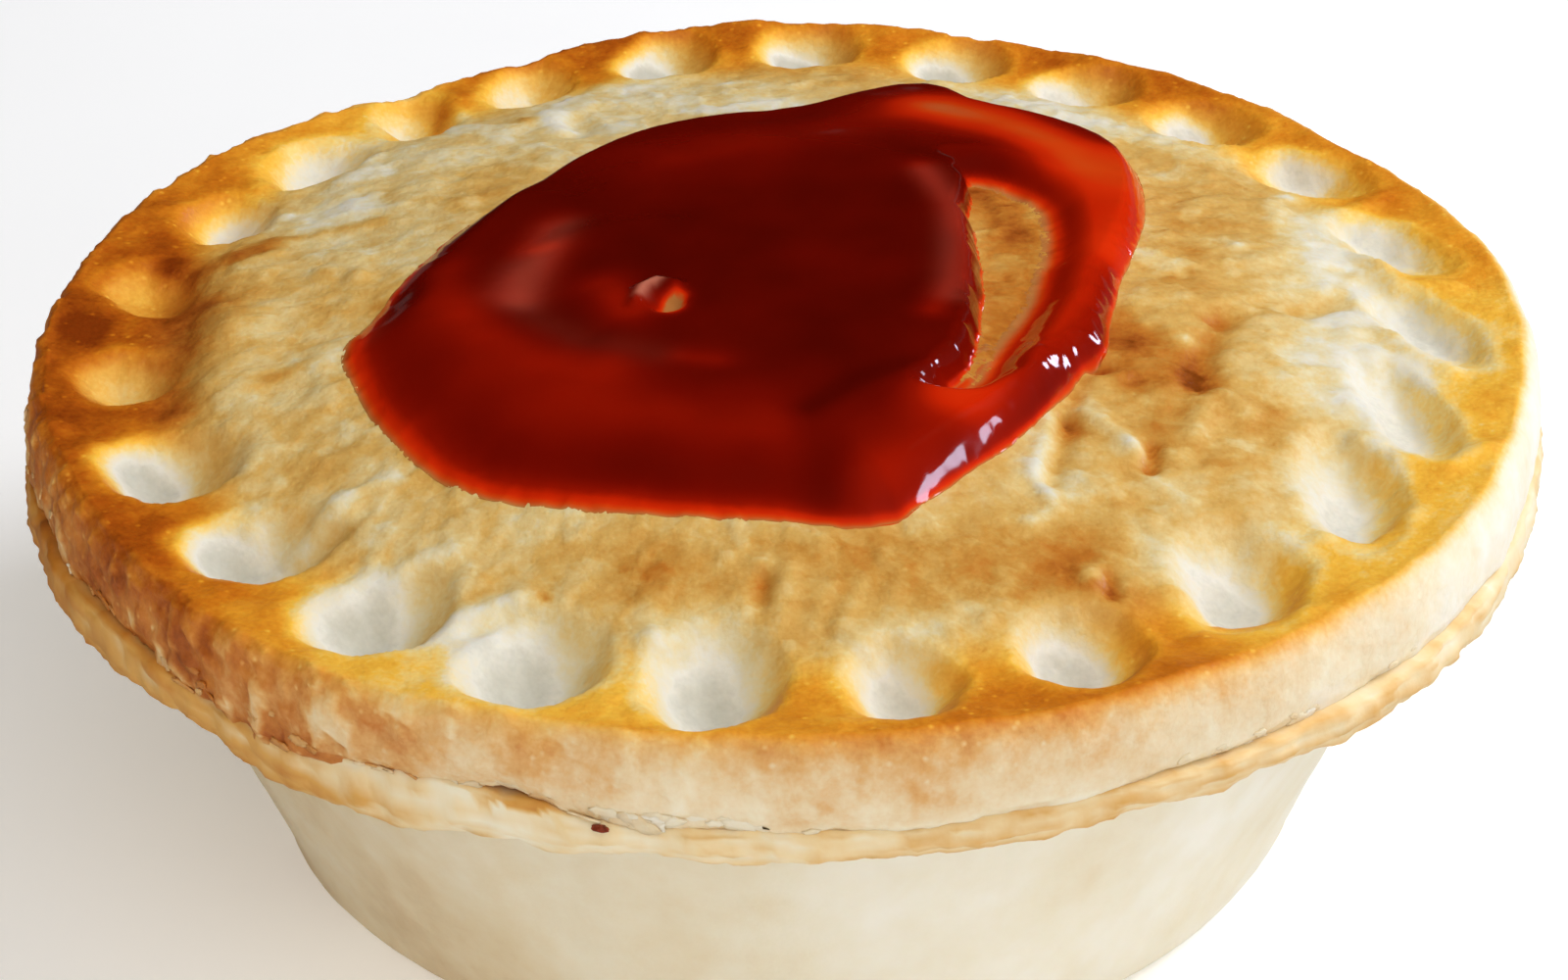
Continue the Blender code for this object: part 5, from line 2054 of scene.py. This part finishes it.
@dataclass(frozen=True)
class GravyDrop:
    """A seed-size bead of gravy that boiled out at the seam."""

    bearing: float = 257.9
    radius: float = 55.8
    height: float = 31.2
    half_length: float = 0.6
    half_height: float = 0.24
    half_depth: float = 0.28
    rings: int = 14
    columns: int = 28
    # The angle between a pole and the ring nearest to it.
    pole_angle: float = 8.0
    rough: Grain = Grain(0.3, 2.0, 61, 2, (3.0, 3.0, 3.0))

    def build(self) -> bpy.types.Object:
        """Builds the bead: an ellipsoid, u round and v from pole to pole, roughened."""
        fall = np.linspace(self.pole_angle, 180.0 - self.pole_angle, self.rings)
        fall = np.radians(fall)[:, None]
        turn = np.linspace(0.0, 2 * math.pi, self.columns, endpoint=False)
        unit = np.stack(
            [
                np.sin(fall) * np.cos(turn), np.sin(fall) * np.sin(turn),
                np.cos(fall) * np.ones_like(turn),
            ],
            -1,
        )
        uneven = 1.0 + self.rough.at(unit)
        sizes = np.array((self.half_length, self.half_depth, self.half_height))
        local = unit * sizes * uneven[..., None]
        centre = ring_places(self.radius, self.bearing, self.height)
        out = np.array(direction(self.bearing, 0.0))
        side = np.array(direction(self.bearing + 90.0, 0.0))
        # The first local axis runs along the seam and the second points inwards.
        up = np.array((0.0, 0.0, 1.0))
        points = centre + local[..., :1] * side - local[..., 1:2] * out + local[..., 2:] * up
        return RingSurface(points).build("gravy_drop", GRAVY.make())


# -------------------------------------------------------------------------- the room


@dataclass(frozen=True)
class Softbox:
    """A square of soft light: where it is seen from the pie, its size and power."""

    name: str
    bearing: float
    elevation: float
    distance_metres: float
    side_metres: float
    watts: float
    colour: str
    # Whether it lights the surfaces, or is only seen in their gloss.
    lights_up: bool = True

    def build(self, aim: Vector) -> None:
        """Hangs the light and turns it to the aim."""
        away = Vector(direction(self.bearing, self.elevation))
        light = bpy.data.lights.new(self.name, "AREA")
        light.size = self.side_metres
        light.energy = self.watts
        light.color = linear(self.colour)[:3]
        lamp = bpy.data.objects.new(self.name, light)
        bpy.context.scene.collection.objects.link(lamp)
        lamp.visible_diffuse = self.lights_up
        lamp.visible_transmission = self.lights_up
        lamp.visible_glossy = not self.lights_up
        lamp.location = aim + away * self.distance_metres
        lamp.rotation_euler = away.to_track_quat("Z", "Y").to_euler()


@dataclass(frozen=True)
class Studio:
    """A white table, soft light from the right and the photograph's camera."""

    camera_place: tuple[float, float, float] = (0.0, -0.24773, 0.17069)
    camera_pitch: float = 30.76
    camera_roll: float = -0.52
    lens: float = 87.1
    sensor: float = 36.0
    nearest_metres: float = 0.01
    table_radius_metres: float = 4.0
    table_points: int = 128
    aim: tuple[float, float, float] = (0.0, 0.0, 0.03)
    lights: tuple[Softbox, ...] = (
        Softbox("window", 22.0, 40.0, 0.6, 0.26, 2.75, "#F0F4FF"),
        Softbox("front", 268.0, 62.0, 1.2, 1.2, 6.3, "#FFFDF9"),
        Softbox("low_pane", 357.0, 21.0, 0.6, 0.09, 0.5, "#DCE4FF", False),
        Softbox("side_pane", 33.0, 8.0, 0.6, 0.09, 0.5, "#DCE4FF", False),
    )
    left_room: str = "#D8CCBB"
    right_room: str = "#E6E7EA"
    near_floor: str = "#F4F3F0"
    # A dark screen stands beyond the pie, where the sauce mirrors it.
    screen_colour: str = "#0A0605"
    screen_bearing: float = 105.0
    screen_elevation: float = 48.0
    screen_inner: float = 56.0
    screen_outer: float = 92.0
    room_blend: float = 0.8
    floor_blend: float = 0.01
    room_strength: float = 1.0
    # The gloss sees a darker room, as with black cards round the set.
    mirrored_strength: float = 0.08

    def build(self) -> None:
        """Builds the table, the lights, the surroundings and the camera."""
        self.table()
        for light in self.lights:
            light.build(Vector(self.aim))
        self.surroundings()
        self.camera()

    def table(self) -> None:
        """A round table top: one ring of points round the origin."""
        bearing = np.linspace(0.0, 360.0, self.table_points, endpoint=False)
        rim = ring_places(self.table_radius_metres, bearing)
        top = mesh_object("table", rim, [tuple(range(len(rim)))], {}, TABLE.make())
        top.visible_glossy = False

    def surroundings(self) -> None:
        """A pale room, warm on the left and cool on the right, with the dark screen:
        its share is an S-curve of the cosine of the angle from its middle."""
        world = bpy.data.worlds.new("room")
        world.use_nodes = True
        bpy.context.scene.world = world
        tree = world.node_tree
        way = add_node(tree, "TexCoord", None, "Generated")
        x, _, z = add_node(tree, "SeparateXYZ", {0: way}).node.outputs
        middle = direction(self.screen_bearing, self.screen_elevation)
        cosine = add_node(
            tree, "VectorMath", {0: way, 1: middle}, "Value", operation="DOT_PRODUCT"
        )
        outer, inner = (
            math.cos(math.radians(turn)) for turn in (self.screen_outer, self.screen_inner)
        )
        across, screen, above = (
            add_range(tree, value, start, end, interpolation_type="SMOOTHSTEP")
            for value, start, end in (
                (x, -self.room_blend, self.room_blend), (cosine, outer, inner),
                (z, 0.0, self.floor_blend),
            )
        )
        near = add_mix(tree, across, linear(self.left_room), linear(self.right_room))
        room = add_mix(tree, screen, near, linear(self.screen_colour))
        mirrored = add_node(tree, "LightPath", None, "Is Glossy Ray")
        inputs = {
            "Color": add_mix(tree, above, linear(self.near_floor), room),
            "Strength": add_range(
                tree, mirrored, low=self.room_strength, high=self.mirrored_strength
            ),
        }
        connect(tree, tree.nodes["Background"], inputs)

    def camera(self) -> None:
        """Places the camera: level, tipped down by the pitch, then rolled."""
        pitch, roll = math.radians(self.camera_pitch), math.radians(self.camera_roll)
        ahead = Vector((0.0, math.cos(pitch), -math.sin(pitch)))
        level = Vector((1.0, 0.0, 0.0))
        upright = level.cross(ahead)
        right = level * math.cos(roll) + upright * math.sin(roll)
        up = upright * math.cos(roll) - level * math.sin(roll)
        view = bpy.data.cameras.new("camera")
        view.sensor_width = self.sensor
        view.lens = self.lens
        view.clip_start = self.nearest_metres
        obj = bpy.data.objects.new("camera", view)
        bpy.context.scene.collection.objects.link(obj)
        turned = Matrix((right, up, -ahead)).transposed().to_4x4()
        turned.translation = Vector(self.camera_place)
        obj.matrix_world = turned
        bpy.context.scene.camera = obj


def main() -> None:
    """Builds the pie piece by piece, then the room."""
    logging.basicConfig(level=logging.INFO, format="%(name)s: %(message)s")
    lid, lid_surface = PastryLid().build()
    settle(lid, "lid_pastry", "pastry_lid")
    case, _ = PastryCase().build()
    settle(case, "case_pastry", "pastry_case")
    settle(SaucePool().build(), "sauce", "tomato_sauce")
    settle(PastryFlakes().build(lid_surface), "lid_pastry")
    settle(GravyDrop().build(), "sauce")
    Studio().build()
    bpy.context.scene.view_settings.view_transform = "Standard"


if __name__ == "__main__":
    main()
